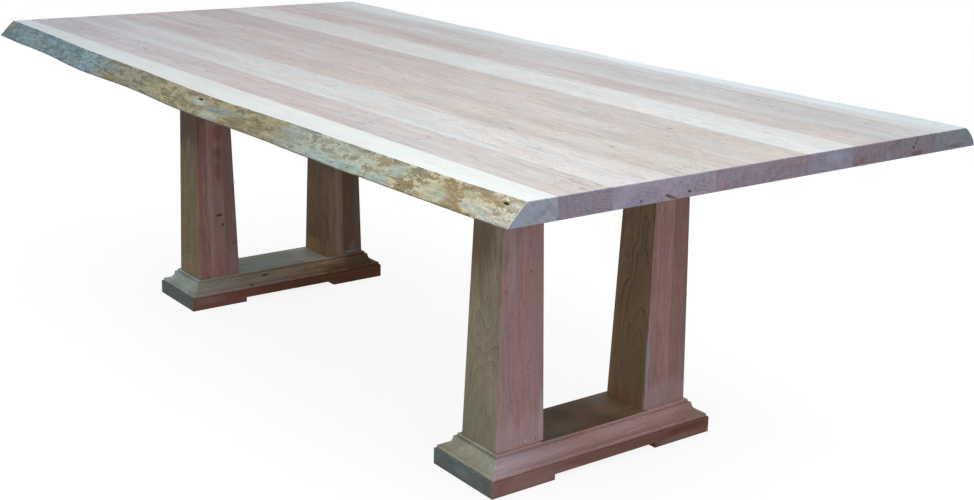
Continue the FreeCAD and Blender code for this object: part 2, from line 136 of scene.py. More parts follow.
def cherry_tree():
    """Cherry as it grew: year rings about a pith, so that each face shows its own cut of them."""
    tree = bpy.data.node_groups.new("cherry", "ShaderNodeTree")
    for kind, names in (("Vector", "Place, Facing, Pith, Lean"), ("Color", "Ground, Deep, Line, End"),
                        ("Float", "Ring Width, Ring Strength, Swell, Wander, Figure, Ribbon, Fibre, Warmth, "
                                  "Flecks, Seed")):
        for name in names.split(", "):
            tree.interface.new_socket(name, in_out="INPUT", socket_type=f"NodeSocket{kind}")
    for name, kind in (("Color", "Color"), ("Height", "Float"), ("Roughness", "Float")):
        tree.interface.new_socket(name, in_out="OUTPUT", socket_type=f"NodeSocket{kind}")
    r = Recipe(tree)
    given = {socket.name: socket for socket in tree.nodes.new("NodeGroupInput").outputs}
    place, seed = given["Place"], given["Seed"]
    strewn = r.vector("ADD", place, r.vector("MULTIPLY", r.join(seed, seed, seed), (7.3, 3.1, 5.7)))

    # Year rings: the distance from a pith that wanders along the board
    bend = r.vector("SUBTRACT", r.noise(strewn, (1.3, 5.0, 5.0), 3.0, 0.45, result=1), (0.5, 0.5, 0.5))
    bend = r.vector("MULTIPLY", bend, r.join(0.0, given["Wander"], given["Wander"]))
    along = r.parts(place)[0]
    pith = r.vector("ADD", given["Pith"], r.vector("MULTIPLY", given["Lean"], r.join(along, along, along)))
    off = r.vector("MULTIPLY", r.vector("ADD", r.vector("SUBTRACT", place, pith), bend), (0, 1, 1))
    figure = r.times(r.swing(strewn, (8, 24, 24), 3.0, 0.5), given["Figure"])
    radius = r.add(r.vector("LENGTH", off, result=1), r.times(figure, 3.0), given["Swell"])
    outward = r.join(r.add(radius, seed), 0.0, 0.0)
    years = r.add(r.sum("DIVIDE", radius, given["Ring Width"]), r.times(r.noise(outward, (55, 1, 1)), 2.4))
    share = r.sum("FRACT", years)
    this_year = r.add(r.sum("FLOOR", years), seed)
    each = r.step("ShaderNodeTexWhiteNoise", fed={"W": this_year}, noise_dimensions="1D")
    each = r.between(each, 0.1, 0.9, 0.15, 1.0, "LINEAR")
    line = r.times(r.between(share, 0.86, 0.94), r.between(share, 1.0, 0.97), each)
    late = r.add(r.times(line, 0.85), r.times(r.between(share, 0.1, 0.95), r.between(share, 1.0, 0.95), 0.22))
    flat = r.unsigned(r.vector("DOT_PRODUCT", r.vector("NORMALIZE", off), given["Facing"], result=1))
    strength = r.times(given["Ring Strength"], r.between(flat, 0.2, 0.9, 0.2, 1.0, "LINEAR"))
    broad = r.noise(outward, (30, 1, 1), 3.0, 0.6)

    # What runs along the grain: ribbons of colour, fibres, short dark flecks of gum
    ribbon = r.noise(strewn, (1.2, 14, 14), 3.0, 0.55, 0.25)
    cloud = r.noise(strewn, (6, 16, 16), 3.0, 0.6, 0.6)
    slim = r.noise(strewn, (3.0, 48, 48), 3.0, 0.6, 0.3)
    streak = r.noise(strewn, (9, 110, 110), 3.0, 0.6, 0.2)
    fine = r.noise(strewn, (20, 300, 300), 3.0, 0.6)
    hair = r.noise(strewn, (60, 900, 900), 2.0, 0.6)
    dust = r.noise(strewn, (260, 420, 420), 2.0, 0.65)
    speck = r.noise(strewn, (34, 330, 330), 1.0)
    speck_field = r.noise(strewn, (4, 12, 12))
    fleck = r.times(r.between(speck, 0.68, 0.74), r.between(speck_field, 0.48, 0.60))
    depth = r.add(r.times(broad, 0.3), r.times(r.add(ribbon, cloud), 0.2), r.times(slim, 0.3))
    depth = r.times(r.between(depth, 0.42, 0.59), given["Ribbon"])
    tone = r.mix(depth, given["Ground"], given["Deep"])
    tone = r.mix(r.times(late, strength), tone, given["Line"])
    drift = r.noise(strewn, (3.0, 10, 10), 2.0)
    grained = r.add(fine, r.times(streak, 0.7), r.times(hair, 0.6), dust, r.times(drift, 0.6), -1.95)
    warmer = r.add(r.noise(strewn, (5, 30, 30), 3.0, 0.6, 0.3), r.noise(strewn, (9, 16, 16), 2.0), -1.0)
    warmer = r.times(warmer, given["Warmth"])
    grained = r.add(r.times(grained, given["Fibre"]), 1.0)
    tinted = r.join(r.add(grained, r.times(warmer, 0.35)), r.add(grained, r.times(warmer, -0.15)),
                    r.add(grained, r.times(warmer, -0.35)))
    tone = r.product(tone, tinted)
    tone = r.mix(r.times(fleck, given["Flecks"]), tone, given["Line"])

    # End grain: open pores, thin rings and rays that run out from the pith
    cut = r.between(r.unsigned(r.parts(given["Facing"])[0]), 0.4, 0.65)
    across, up = r.parts(off)[1:]
    around = r.join(r.times(r.sum("ARCTAN2", up, across), 60.0), r.times(radius, 14.0), seed)
    ray = r.noise(around, (1, 1, 1), 2.0, 0.6)
    pores = r.noise(strewn, (60, 700, 700), 2.0, 0.7)
    mottle = r.noise(strewn, (40, 95, 95), 4.0, 0.65)
    level = r.add(r.times(late, -0.65), r.times(ray, 0.6), r.times(pores, 0.8), r.times(broad, 0.8),
                  r.times(mottle, 0.65), -0.34)
    rust = r.times(r.add(r.noise(strewn, (40, 45, 45), 3.0, 0.6), -0.5), 0.5)
    sawn = r.join(r.add(level, rust), r.add(level, r.times(rust, -0.3)), r.add(level, r.times(rust, -0.5)))
    sawn = r.product(given["End"], sawn)
    tone = r.mix(cut, tone, sawn)

    height = r.add(r.times(fine, 0.5), r.times(hair, 0.35), r.times(late, 0.25))
    roughness = r.add(r.times(fine, 0.16), 0.52)
    r.step("NodeGroupOutput", fed={"Color": tone, "Height": height, "Roughness": roughness})
    return tree


cherry = cherry_tree()
# How far the rings waver where a piece says nothing else
USUAL_FIGURE = 0.003


def turned(r, vector, grain):
    """The same vector with its first part along the grain."""
    parts = r.parts(vector)
    order = {"x": (0, 1, 2), "y": (1, 0, 2), "z": (2, 1, 0)}[grain]
    return r.join(*[parts[index] for index in order])


def new_material(name):
    """A material, the recipe of its nodes, its shader, and the place on the piece."""
    material = bpy.data.materials.new(name)
    material.use_nodes = True
    r = Recipe(material.node_tree)
    return material, r, material.node_tree.nodes["Principled BSDF"], r.step("ShaderNodeTexCoord", "Object")


def cherry_material(name, grain, middle, finish=None, side=None, swells=(), knots=(), stains=(),
                    blotch=(22, 22, 22), arris_wear_and_highlight=0.0, bump=0.3, moulded=False, **wood):
    """Solid cherry. Swells in the rings give loops and arches, and knots are dark and round.

    Swells are (centre, radii, height); knots and stains are (centre, radii, share, colour).
    A moulded piece shows the same cut of the rings all over."""
    material, r, shader, spot = new_material(name)
    facing = spot.node.outputs["Normal"]
    group = r.tree.nodes.new("ShaderNodeGroup")
    group.node_tree = cherry
    r.give(group, {
        "Place": turned(r, r.vector("SUBTRACT", spot, tuple(middle)), grain),
        "Facing": (0, 0, 1) if moulded else turned(r, facing, grain), "Figure": USUAL_FIGURE,
        **{key.replace("_", " ").title(): setting for key, setting in wood.items()}})
    if swells or knots:
        rises, round_knots = [], [(centre, [2.2 * x for x in radii], 0.004) for centre, radii, _, _ in knots]
        for centre, radii, amount in (*swells, *round_knots):
            away = r.reach(spot, centre, radii)
            rises.append(r.times(r.sum("EXPONENT", r.times(away, away, -1.0)), amount))
        r.give(group, {"Swell": r.add(*rises)})
    tone = group.outputs["Color"]
    # Faces turned along y take the side tint: partly their own colour, partly painted light and shade for that
    # side
    if side:
        tone = r.tint(r.between(r.unsigned(r.parts(facing)[1]), 0.5, 0.9), tone, side)
    if knots or stains:
        frayed = r.times(r.swing(spot, (180, 180, 180)), 0.7)
        clouded = r.times(r.swing(spot, blotch, 4.0, 0.6), 1.8)
        for marks, ragged, outer, inner in ((stains, clouded, 1.2, 0.4), (knots, frayed, 1.0, 0.45)):
            for centre, radii, share, colour in marks:
                away = r.add(r.reach(spot, centre, radii), ragged)
                tone = r.mix(r.times(r.between(away, outer, inner), share), tone, colour)
    if finish:
        tone = finish(r, spot, facing, tone, group)
    relief = {"Strength": bump, "Distance": 0.0006, "Height": group.outputs["Height"]}
    # Along the arrises the tone is lightened and blued: partly wear, partly a painted highlight on the rounded
    # edge
    if arris_wear_and_highlight:
        eased = r.step("ShaderNodeBevel", fed={"Radius": 0.0022}, samples=6)
        sharp = r.step("ShaderNodeNewGeometry", "True Normal")
        arris = r.between(r.vector("DOT_PRODUCT", eased, sharp, result=1), 0.985, 0.93)
        rubbed_and_highlit = r.times(arris, r.between(r.noise(spot, (60, 60, 60), 3.0), 0.35, 0.6, 0.3, 1.0), arris_wear_and_highlight)
        tone = r.tint(rubbed_and_highlit, tone, (2.3, 2.35, 2.5))
        relief["Normal"] = eased
    r.give(shader, {"Base Color": tone, "Roughness": group.outputs["Roughness"], "Specular IOR Level": 0.25,
                    "Normal": r.step("ShaderNodeBump", fed=relief)})
    return material


def middle_of(node):
    low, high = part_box(node)
    return (low + high) / 2


def dress(node, material):
    """The CAD node keeps its shape and takes this material."""
    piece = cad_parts[node]
    piece.data.materials.clear()
    piece.data.materials.append(material)


# The mitres of a base board would meet this far from its middle, and change over this far to each side
MITRE, MITRE_BLEND = 0.2075, 0.0015
# The height of a cap's flat top, and how far out the notch under a plinth and its end arrises lie
CAP_TOP, NOTCH_END, END_ARRIS = 0.0758, (0.30, 0.28), (0.3060, 0.3100)


def past_mitre(r, spot, middle):
    """How far a place on a base board lies past its mitres, on the ends' side of them."""
    x, y, _ = r.parts(spot)
    return r.less(r.less(r.unsigned(y), MITRE), r.unsigned(r.less(x, middle)))


def long_sides(r, spot, middle, tone, stops):
    """The long sides change slowly from end to end, through stops of (y, tint), and grow darker towards the
    back: partly the wood's own change, partly painted shade under the tabletop.
    """
    _, y, z = r.parts(spot)
    tint = stops[0][1]
    for (start, _), (end, tinge) in zip(stops, stops[1:]):
        tint = r.mix(r.between(y, start, end, kind="LINEAR"), tint, tinge)
    below_top = r.between(z, CAP_TOP - 0.0001, CAP_TOP - 0.0007)
    before_mitre = r.between(past_mitre(r, spot, middle), MITRE_BLEND, -MITRE_BLEND)
    return r.tint(r.times(before_mitre, below_top), tone, tint)


def plinth_finish(middle, tints):
    """Grey creeps over the arrises at both ends, and stays out of the notch under the middle."""
    def finish(r, spot, facing, tone, group):
        tone = long_sides(r, spot, middle, tone, tints)
        outward = r.unsigned(r.parts(spot)[1])
        _, endwise, upward = (r.unsigned(part) for part in r.parts(facing))
        greyed = r.times(r.between(outward, *END_ARRIS), r.between(upward, 0.3, 0.8))
        tone = r.tint(greyed, tone, (0.95, 2.0, 2.3))
        notched = r.times(r.between(outward, *NOTCH_END), r.between(endwise, 0.5, 0.8))
        return r.tint(notched, tone, (0.42, 0.22, 0.16))
    return finish


plinths = {
    "near": dict(
        tints=((-0.26, (1.32, 1.55, 1.70)), (0.0, (1.23, 1.36, 1.46)),
               (0.12, (0.92, 0.93, 0.89)), (0.28, (0.94, 0.86, 0.76))),
        ground=(0.253, 0.109, 0.084), deep=(0.16, 0.064, 0.046), line=(0.09, 0.045, 0.035),
        end=(0.161, 0.189, 0.181), pith=(0.0, -0.04, -0.05), seed=31.0,
        stains=[((0.70, -0.314, 0.02), (0.03, 0.01, 0.012), 0.5, (0.27, 0.30, 0.31)),
                ((0.66, -0.314, 0.03), (0.03, 0.01, 0.008), 0.5, (0.10, 0.12, 0.12)),
                ((0.81, -0.21, 0.02), (0.02, 0.12, 0.02), 0.45, (0.34, 0.18, 0.155)),
                ((0.81, 0.235, 0.026), (0.02, 0.085, 0.008), 0.6, (0.105, 0.043, 0.028)),
                ((0.81, 0.235, 0.008), (0.02, 0.100, 0.008), 0.75, (0.31, 0.20, 0.175)),
                ((0.81, -0.10, 0.030), (0.02, 0.10, 0.005), 0.4, (0.15, 0.06, 0.042))]),
    "far": dict(
        tints=((-0.26, (1.63, 1.88, 2.12)), (-0.13, (1.33, 1.36, 1.42)), (-0.06, (0.92, 0.88, 0.74)),
               (0.07, (1.08, 0.83, 0.54)), (0.13, (1.25, 0.95, 0.67)), (0.28, (0.90, 0.68, 0.40))),
        ground=(0.198, 0.077, 0.044), deep=(0.118, 0.042, 0.023), line=(0.06, 0.03, 0.025),
        end=(0.107, 0.127, 0.117), pith=(0.0, 0.05, -0.06), seed=32.0,
        # The first stain darkens the back end: partly the wood, partly painted shade under the tabletop
        stains=[((-0.597, 0.16, 0.02), (0.02, 0.22, 0.03), 0.85, (0.078, 0.037, 0.019)),
                ((-0.597, -0.27, 0.026), (0.02, 0.07, 0.012), 0.6, (0.235, 0.130, 0.108)),
                ((-0.597, -0.14, 0.024), (0.02, 0.06, 0.006), 0.5, (0.13, 0.055, 0.034)),
                ((-0.597, 0.20, 0.030), (0.02, 0.10, 0.004), 0.5, (0.155, 0.068, 0.032))]),
}
for pedestal, wood in plinths.items():
    node, finish = f"{pedestal}_plinth", plinth_finish(PEDESTALS[pedestal], wood.pop("tints"))
    dress(node, cherry_material(
        node, "y", middle_of(node), finish, lean=(0, 0.02, 0.03), ring_width=0.0048, ring_strength=0.45,
        figure=0.004, wander=0.04, ribbon=0.8, fibre=0.55, warmth=0.5, flecks=0.7, arris_wear_and_highlight=0.8, **wood))

# Moulded caps
# The upper board of each base, also solid cherry. A cove between two small ledges is routed
# round all four edges, and its upper face is mortised for the feet of both columns.

# A painted shadow line lies on the narrow slope between the cove's upper end and the ledge above it
COVE_END, UNDER_LEDGE, QUIRK_SHADOW = (0.0684, 0.0687), (0.0725, 0.0700), (0.02, 0.022, 0.02)


def cap_finish(middle, ends, flat, painted_light_by_back_foot, tints):
    """The cove across the ends takes another tint and meets the long one on a mitre; the tint is partly the end
    grain's own colour and partly painted light from that side.
    The flat top between the columns takes its own tint, a dark painted shade from the tabletop on the near cap.
    It has painted light by the back column's foot, and a painted shadow line sits in the upper corner."""
    def finish(r, spot, facing, tone, group):
        tone = long_sides(r, spot, middle, tone, tints)
        _, y, z = r.parts(spot)
        outward = r.unsigned(y)
        # The ends' tint: partly their own colour, partly painted light from that side
        tone = r.tint(r.between(past_mitre(r, spot, middle), -MITRE_BLEND, MITRE_BLEND), tone, ends)
        # The flat top's tint: on the near cap, painted shade from the tabletop above
        top = r.times(r.between(z, CAP_TOP - 0.0007, CAP_TOP - 0.0001), r.between(outward, 0.16, 0.15))
        tone = r.tint(top, tone, flat)
        # Painted light on the flat top by the back column's foot
        tone = r.tint(r.times(top, r.between(y, 0.03, 0.125)), tone, painted_light_by_back_foot)
        _, endwise, upward = (r.unsigned(part) for part in r.parts(facing))
        # Painted shadow: the steep slope above the cove is darkened almost to black, more on the ends
        shaded_quirk = r.times(r.between(z, *UNDER_LEDGE), r.between(z, *COVE_END), r.between(upward, 0.5, 0.2))
        return r.mix(r.times(shaded_quirk, r.between(endwise, 0.3, 0.8, 0.4, 0.8)), tone, QUIRK_SHADOW)
    return finish


def on_cap(x, y, long, wide, share, colour):
    """A stain on the flat top between the columns."""
    return (x, y, CAP_TOP), (long, wide, 0.004), share, colour


caps = {
    "near": (dict(
        # On the near cap the flat tint is painted shade, the tint by the back foot is painted light, and the
        # ends' tint is partly painted light
        ends=(0.92, 1.36, 1.08), flat=(0.275, 0.226, 0.112), painted_light_by_back_foot=(2.0, 2.4, 2.9),
        tints=((-0.28, (1.08, 1.25, 1.38)), (-0.15, (0.88, 0.90, 0.95)), (-0.04, (0.87, 0.80, 0.73)),
               (0.07, (1.0, 0.97, 1.0)), (0.28, (0.83, 0.75, 0.71)))), dict(
        ground=(0.64, 0.425, 0.415), deep=(0.50, 0.31, 0.285), line=(0.26, 0.15, 0.12), seed=41.0,
        blotch=(55, 55, 55),
        stains=[on_cap(0.72, 0.08, 0.035, 0.035, 0.7, (0.80, 0.58, 0.52)),
                on_cap(0.74, -0.08, 0.025, 0.050, 0.7, (0.72, 0.60, 0.62)),
                on_cap(0.67, -0.11, 0.035, 0.040, 0.7, (0.42, 0.50, 0.92)),
                on_cap(0.66, 0.10, 0.035, 0.050, 0.5, (0.50, 0.50, 0.74)),
                on_cap(0.76, -0.12, 0.020, 0.030, 0.6, (0.34, 0.44, 0.86)),
                on_cap(0.68, -0.03, 0.040, 0.035, 0.8, (0.25, 0.18, 0.17)),
                ((0.79, 0.28, 0.050), (0.03, 0.09, 0.018), 0.5, (0.38, 0.255, 0.195)),
                ((0.80, 0.10, 0.045), (0.03, 0.24, 0.0028), 0.35, (0.38, 0.28, 0.21)),
                ((0.79, -0.22, 0.055), (0.03, 0.07, 0.010), 0.35, (0.62, 0.46, 0.48))])),
    "far": (dict(
        # The far cap's tint by the back foot is painted light, and the ends' tint is partly painted light
        ends=(1.31, 1.82, 2.27), flat=(0.92, 1.28, 1.50), painted_light_by_back_foot=(1.58, 1.53, 1.47),
        tints=((-0.28, (1.28, 1.53, 1.75)), (-0.13, (0.97, 1.02, 1.12)), (0.0, (0.84, 0.78, 0.76)),
               (0.065, (0.80, 0.68, 0.55)), (0.13, (1.02, 0.90, 0.72)), (0.28, (0.60, 0.48, 0.34)))), dict(
        ground=(0.45, 0.37, 0.275), deep=(0.30, 0.23, 0.155), line=(0.12, 0.075, 0.05), seed=42.0,
        knots=[((-0.6257, -0.0707, 0.0605), (0.012, 0.018, 0.0045), 0.8, (0.05, 0.03, 0.02)),
               ((-0.6056, -0.1237, 0.0441), (0.012, 0.006, 0.003), 0.7, (0.05, 0.03, 0.02))],
        blotch=(45, 18, 45),
        # The first stain darkens the back end: partly the wood, partly painted shade under the tabletop
        stains=[((-0.605, 0.27, 0.050), (0.06, 0.17, 0.04), 0.9, (0.13, 0.076, 0.039)),
                ((-0.605, 0.14, 0.054), (0.03, 0.12, 0.006), 0.5, (0.21, 0.155, 0.10)),
                ((-0.605, 0.20, 0.043), (0.03, 0.12, 0.003), 0.6, (0.21, 0.105, 0.050)),
                ((-0.605, -0.20, 0.044), (0.03, 0.09, 0.006), 0.45, (0.40, 0.275, 0.26)),
                ((-0.605, -0.19, 0.056), (0.03, 0.06, 0.010), 0.35, (0.44, 0.35, 0.37))])),
}
for pedestal, (tones, wood) in caps.items():
    node = f"{pedestal}_moulded_cap"
    dress(node, cherry_material(
        node, "y", middle_of(node), cap_finish(PEDESTALS[pedestal], **tones), moulded=True,
        pith=(0, 0.03, -0.07), lean=(0, 0.02, 0.02), ring_width=0.005, ring_strength=0.5, figure=0.004,
        wander=0.04, ribbon=0.8, fibre=0.5, warmth=0.6, flecks=0.6, arris_wear_and_highlight=0.6, **wood))

# Columns
# Four square columns, tapered on every face, each glued up from two or three upright staves.
# The staves were cut from different boards, so their colour changes at the glue lines.
DARK_KNOT = (0.045, 0.025, 0.018)
# The side tint of the faces turned along y is partly their grain's own colour and partly painted light and
# shade. On the near back column's inner face and on the far back column, the side tints and darker grounds are
# partly painted shade under the tabletop.
staves = {
    "near_front_column_stave_1": dict(
        ground=(0.504, 0.306, 0.312), deep=(0.417, 0.235, 0.226), side=(0.828, 1.145, 0.793), seed=21.0,
        pith=(0, 0.10, 0.015), lean=(0, 0.05, 0.01), wander=0.05, ring_strength=0.6, fibre=0.75,
        swells=[((0.690, -0.26, 0.47), (0.020, 0.06, 0.05), 0.006),
                ((0.714, -0.265, 0.37), (0.030, 0.06, 0.13), 0.015)],
        knots=[((0.7635, -0.2186, 0.1782), (0.004, 0.0011, 0.006), 0.6, DARK_KNOT)],
        # Painted shade under the tabletop: darkens the column towards its head
        stains=[((0.68, -0.26, 0.56), (0.06, 0.02, 0.15), 0.85, (0.23, 0.155, 0.092)),
                ((0.70, -0.27, 0.13), (0.06, 0.02, 0.09), 0.5, (0.32, 0.265, 0.18)),
                # Painted shade under the tabletop: darkens the column towards its head
                ((0.69, -0.26, 0.50), (0.08, 0.02, 0.06), 0.5, (0.16, 0.10, 0.055)),
                ((0.766, -0.235, 0.09), (0.01, 0.06, 0.06), 0.35, (0.72, 0.52, 0.56)),
                ((0.757, -0.234, 0.47), (0.01, 0.012, 0.10), 0.25, (0.62, 0.50, 0.56))]),
    "near_front_column_stave_2": dict(
        ground=(0.514, 0.310, 0.305), deep=(0.427, 0.244, 0.225), side=(1.0, 1.3, 0.98), seed=22.0,
        pith=(0, 0.12, -0.02), lean=(0, -0.02, 0.01), wander=0.05,
        knots=[((0.7570, -0.1870, 0.4602), (0.004, 0.0014, 0.0045), 0.95, DARK_KNOT),
               ((0.7657, -0.1667, 0.0840), (0.004, 0.0012, 0.009), 0.8, DARK_KNOT)],
        stains=[((0.764, -0.155, 0.15), (0.01, 0.010, 0.07), 0.35, (0.62, 0.54, 0.62)),
                ((0.766, -0.18, 0.09), (0.01, 0.06, 0.06), 0.35, (0.72, 0.52, 0.56)),
                ((0.7656, -0.1939, 0.0861), (0.01, 0.005, 0.005), 0.8, (0.66, 0.62, 0.80)),
                ((0.7570, -0.170, 0.42), (0.01, 0.016, 0.16), 0.3, (0.46, 0.27, 0.23))]),
    "near_back_column_stave_1": dict(
        ground=(0.450, 0.270, 0.253), deep=(0.367, 0.203, 0.181), side=(0.63, 0.69, 0.41), seed=23.0,
        pith=(0, 0.09, 0.03), lean=(0, 0.05, 0.0), wander=0.05, figure=0.0025, ring_strength=1.0, fibre=1.05,
        swells=[((0.684, 0.153, 0.395), (0.014, 0.05, 0.030), 0.010),
                ((0.692, 0.155, 0.495), (0.016, 0.05, 0.045), 0.012)],
        knots=[((0.6830, 0.1476, 0.1607), (0.0016, 0.004, 0.0075), 0.95, DARK_KNOT),
               ((0.7563, 0.1479, 0.1725), (0.0015, 0.004, 0.0055), 0.75, DARK_KNOT)],
        stains=[((0.71, 0.146, 0.18), (0.08, 0.02, 0.12), 0.6, (0.215, 0.132, 0.068)),
                ((0.69, 0.146, 0.088), (0.05, 0.02, 0.02), 0.55, (0.30, 0.125, 0.085)),
                ((0.6732, 0.1463, 0.105), (0.0015, 0.01, 0.03), 0.8, (0.10, 0.05, 0.03)),
                ((0.668, 0.154, 0.43), (0.010, 0.02, 0.10), 0.22, (0.30, 0.25, 0.22)),
                # Painted highlight: a pale blue line up the lower half of the arris
                ((0.766, 0.152, 0.20), (0.01, 0.006, 0.10), 0.4, (0.60, 0.56, 0.68)),
                ((0.766, 0.18, 0.09), (0.01, 0.06, 0.06), 0.4, (0.60, 0.43, 0.45))]),
    "near_back_column_stave_2": dict(
        ground=(0.387, 0.214, 0.191), deep=(0.315, 0.165, 0.142), side=(1.0, 1.3, 0.98), seed=24.0,
        pith=(0, 0.10, -0.03), lean=(0, 0.02, 0.02), wander=0.05,
        knots=[((0.765, 0.225, 0.33), (0.004, 0.0012, 0.004), 0.6, DARK_KNOT)],
        stains=[((0.7647, 0.257, 0.14), (0.01, 0.014, 0.12), 0.28, (0.46, 0.36, 0.38)),
                ((0.7655, 0.23, 0.09), (0.01, 0.06, 0.06), 0.4, (0.56, 0.38, 0.38))]),
    "far_front_column_stave_1": dict(
        ground=(0.495, 0.285, 0.245), deep=(0.385, 0.203, 0.165), side=(0.60, 0.73, 0.475), seed=25.0,
        pith=(0, 0.08, 0.01), lean=(0, 0.03, 0.01), wander=0.06, figure=0.006, fibre=1.05,
        knots=[((-0.7020, -0.2665, 0.2396), (0.0035, 0.004, 0.012), 0.55, DARK_KNOT),
               ((-0.7084, -0.2683, 0.1621), (0.0035, 0.004, 0.012), 0.75, DARK_KNOT),
               ((-0.6834, -0.2624, 0.4201), (0.0030, 0.004, 0.006), 0.5, DARK_KNOT)],
        # Painted shade under the tabletop: this stain and the next darken the column towards its head
        stains=[((-0.71, -0.26, 0.57), (0.07, 0.03, 0.15), 0.9, (0.115, 0.068, 0.032)),
                ((-0.71, -0.26, 0.50), (0.09, 0.03, 0.06), 0.6, (0.075, 0.035, 0.012)),
                ((-0.71, -0.27, 0.09), (0.09, 0.02, 0.04), 0.2, (0.46, 0.37, 0.24)),
                ((-0.647, -0.2275, 0.29), (0.015, 0.0085, 0.33), 0.65, (0.54, 0.38, 0.385)),
                ((-0.646, -0.2550, 0.30), (0.015, 0.0090, 0.28), 0.55, (0.37, 0.165, 0.135))]),
    "far_front_column_stave_2": dict(
        ground=(0.485, 0.280, 0.243), deep=(0.378, 0.198, 0.162), side=(0.8, 0.97, 0.72), seed=26.0,
        pith=(0, 0.05, -0.03), lean=(0, 0.02, 0.02), wander=0.07, figure=0.007, ring_strength=0.5,
        knots=[((-0.6453, -0.2010, 0.2566), (0.006, 0.0145, 0.0050), 0.9, (0.12, 0.035, 0.022)),
               ((-0.6447, -0.1919, 0.2274), (0.006, 0.0040, 0.0080), 0.95, (0.06, 0.02, 0.012))],
        stains=[((-0.6507, -0.1975, 0.492), (0.02, 0.016, 0.030), 0.85, (0.30, 0.13, 0.095)),
                ((-0.6496, -0.1962, 0.436), (0.02, 0.015, 0.024), 0.85, (0.29, 0.12, 0.088)),
                ((-0.6482, -0.2006, 0.382), (0.02, 0.014, 0.036), 0.8, (0.31, 0.135, 0.10)),
                ((-0.6434, -0.2020, 0.180), (0.02, 0.016, 0.09), 0.4, (0.55, 0.29, 0.255))]),
    "far_front_column_stave_3": dict(
        ground=(0.355, 0.212, 0.185), deep=(0.285, 0.162, 0.138), side=(0.8, 0.97, 0.72), seed=27.0,
        pith=(0, 0.07, 0.02), lean=(0, -0.02, 0.01), wander=0.04,
        knots=[((-0.6434, -0.1610, 0.170), (0.006, 0.0030, 0.0045), 0.7, DARK_KNOT)],
        stains=[((-0.641, -0.165, 0.10), (0.02, 0.02, 0.05), 0.4, (0.50, 0.30, 0.29))]),
    "far_back_column_stave_1": dict(
        ground=(0.34, 0.218, 0.142), deep=(0.262, 0.153, 0.093), side=(0.82, 0.78, 0.49), seed=28.0,
        pith=(0, 0.10, 0.02), lean=(0, 0.03, 0.01), wander=0.06, figure=0.005, fibre=0.9,
        knots=[((-0.7512, 0.1489, 0.2144), (0.003, 0.004, 0.005), 0.6, DARK_KNOT),
               ((-0.7105, 0.1474, 0.1520), (0.003, 0.004, 0.008), 0.6, DARK_KNOT)],
        stains=[((-0.71, 0.15, 0.11), (0.09, 0.02, 0.13), 0.9, (0.126, 0.063, 0.019)),
                ((-0.71, 0.15, 0.25), (0.09, 0.02, 0.08), 0.5, (0.13, 0.07, 0.026)),
                ((-0.71, 0.15, 0.085), (0.09, 0.02, 0.038), 0.85, (0.33, 0.20, 0.09)),
                # Painted shade under the tabletop: this stain and the next darken the column towards its head
                ((-0.72, 0.15, 0.38), (0.08, 0.02, 0.10), 0.85, (0.13, 0.078, 0.042)),
                ((-0.647, 0.17, 0.39), (0.02, 0.045, 0.09), 0.6, (0.19, 0.112, 0.07)),
                ((-0.645, 0.18, 0.15), (0.02, 0.035, 0.08), 0.4, (0.25, 0.14, 0.075)),
                ((-0.644, 0.188, 0.25), (0.015, 0.010, 0.32), 0.6, (0.42, 0.275, 0.225))]),
    "far_back_column_stave_2": dict(
        ground=(0.172, 0.097, 0.058), deep=(0.117, 0.063, 0.036), side=(0.9, 0.95, 0.8), seed=29.0,
        pith=(0, 0.07, -0.02), lean=(0, 0.02, 0.02), wander=0.05,
        stains=[((-0.645, 0.254, 0.24), (0.015, 0.014, 0.20), 0.45, (0.20, 0.148, 0.113)),
                # Painted shade under the tabletop: darkens the column towards its head
                ((-0.647, 0.24, 0.38), (0.02, 0.05, 0.09), 0.6, (0.125, 0.068, 0.042)),
                ((-0.6412, 0.230, 0.081), (0.015, 0.034, 0.007), 0.6, (0.27, 0.28, 0.28)),
                ((-0.6420, 0.238, 0.098), (0.015, 0.012, 0.014), 0.35, (0.25, 0.25, 0.25)),
                ((-0.6425, 0.225, 0.14), (0.015, 0.012, 0.05), 0.4, (0.14, 0.075, 0.05))]),
}
usual_stave = dict(line=(0.10, 0.055, 0.04), end=(0.25, 0.2, 0.2), ring_width=0.0048, ring_strength=0.75,
                   ribbon=0.7, fibre=0.65, warmth=0.44, flecks=0.8)
for node, stave in staves.items():
    wood = {**usual_stave, **stave}
    dress(node, cherry_material(node, "z", middle_of(node), blotch=(70, 70, 12), arris_wear_and_highlight=0.35, **wood))

# Cleats
# A cherry bearer under the top over each pedestal. It takes the heads of both columns, and
# slotted screw holes let the wide top swell and shrink. Its ends are chamfered underneath.
for node, seed in (("near_top_cleat", 51.0), ("far_top_cleat", 52.0)):
    dress(node, cherry_material(
        node, "y", middle_of(node), ground=(0.44, 0.28, 0.25), deep=(0.34, 0.20, 0.17),
        line=(0.16, 0.09, 0.07), end=(0.25, 0.2, 0.2), pith=(0, 0.03, -0.06), lean=(0, 0.02, 0.03), seed=seed,
        ring_width=0.005, ring_strength=0.5, wander=0.04, ribbon=0.8, fibre=0.5, warmth=0.6, flecks=0.6))

# Tabletop, inner boards
# Eight straight boards of unfinished cherry, planed, glued edge to edge and sanded flush.
# Heartwood and sapwood change from board to board, and some boards keep a strip of the other.
def on_top(x, y, long, wide, share, colour):
    """A knot or a stain on the upper face."""
    return (x, y, TOP), (long, wide, 0.008), share, colour


def on_end(y, z, wide, high, share, colour):
    """A knot or a stain on the end face towards the near end."""
    return (LENGTH / 2, y, z), (0.01, wide, high), share, colour


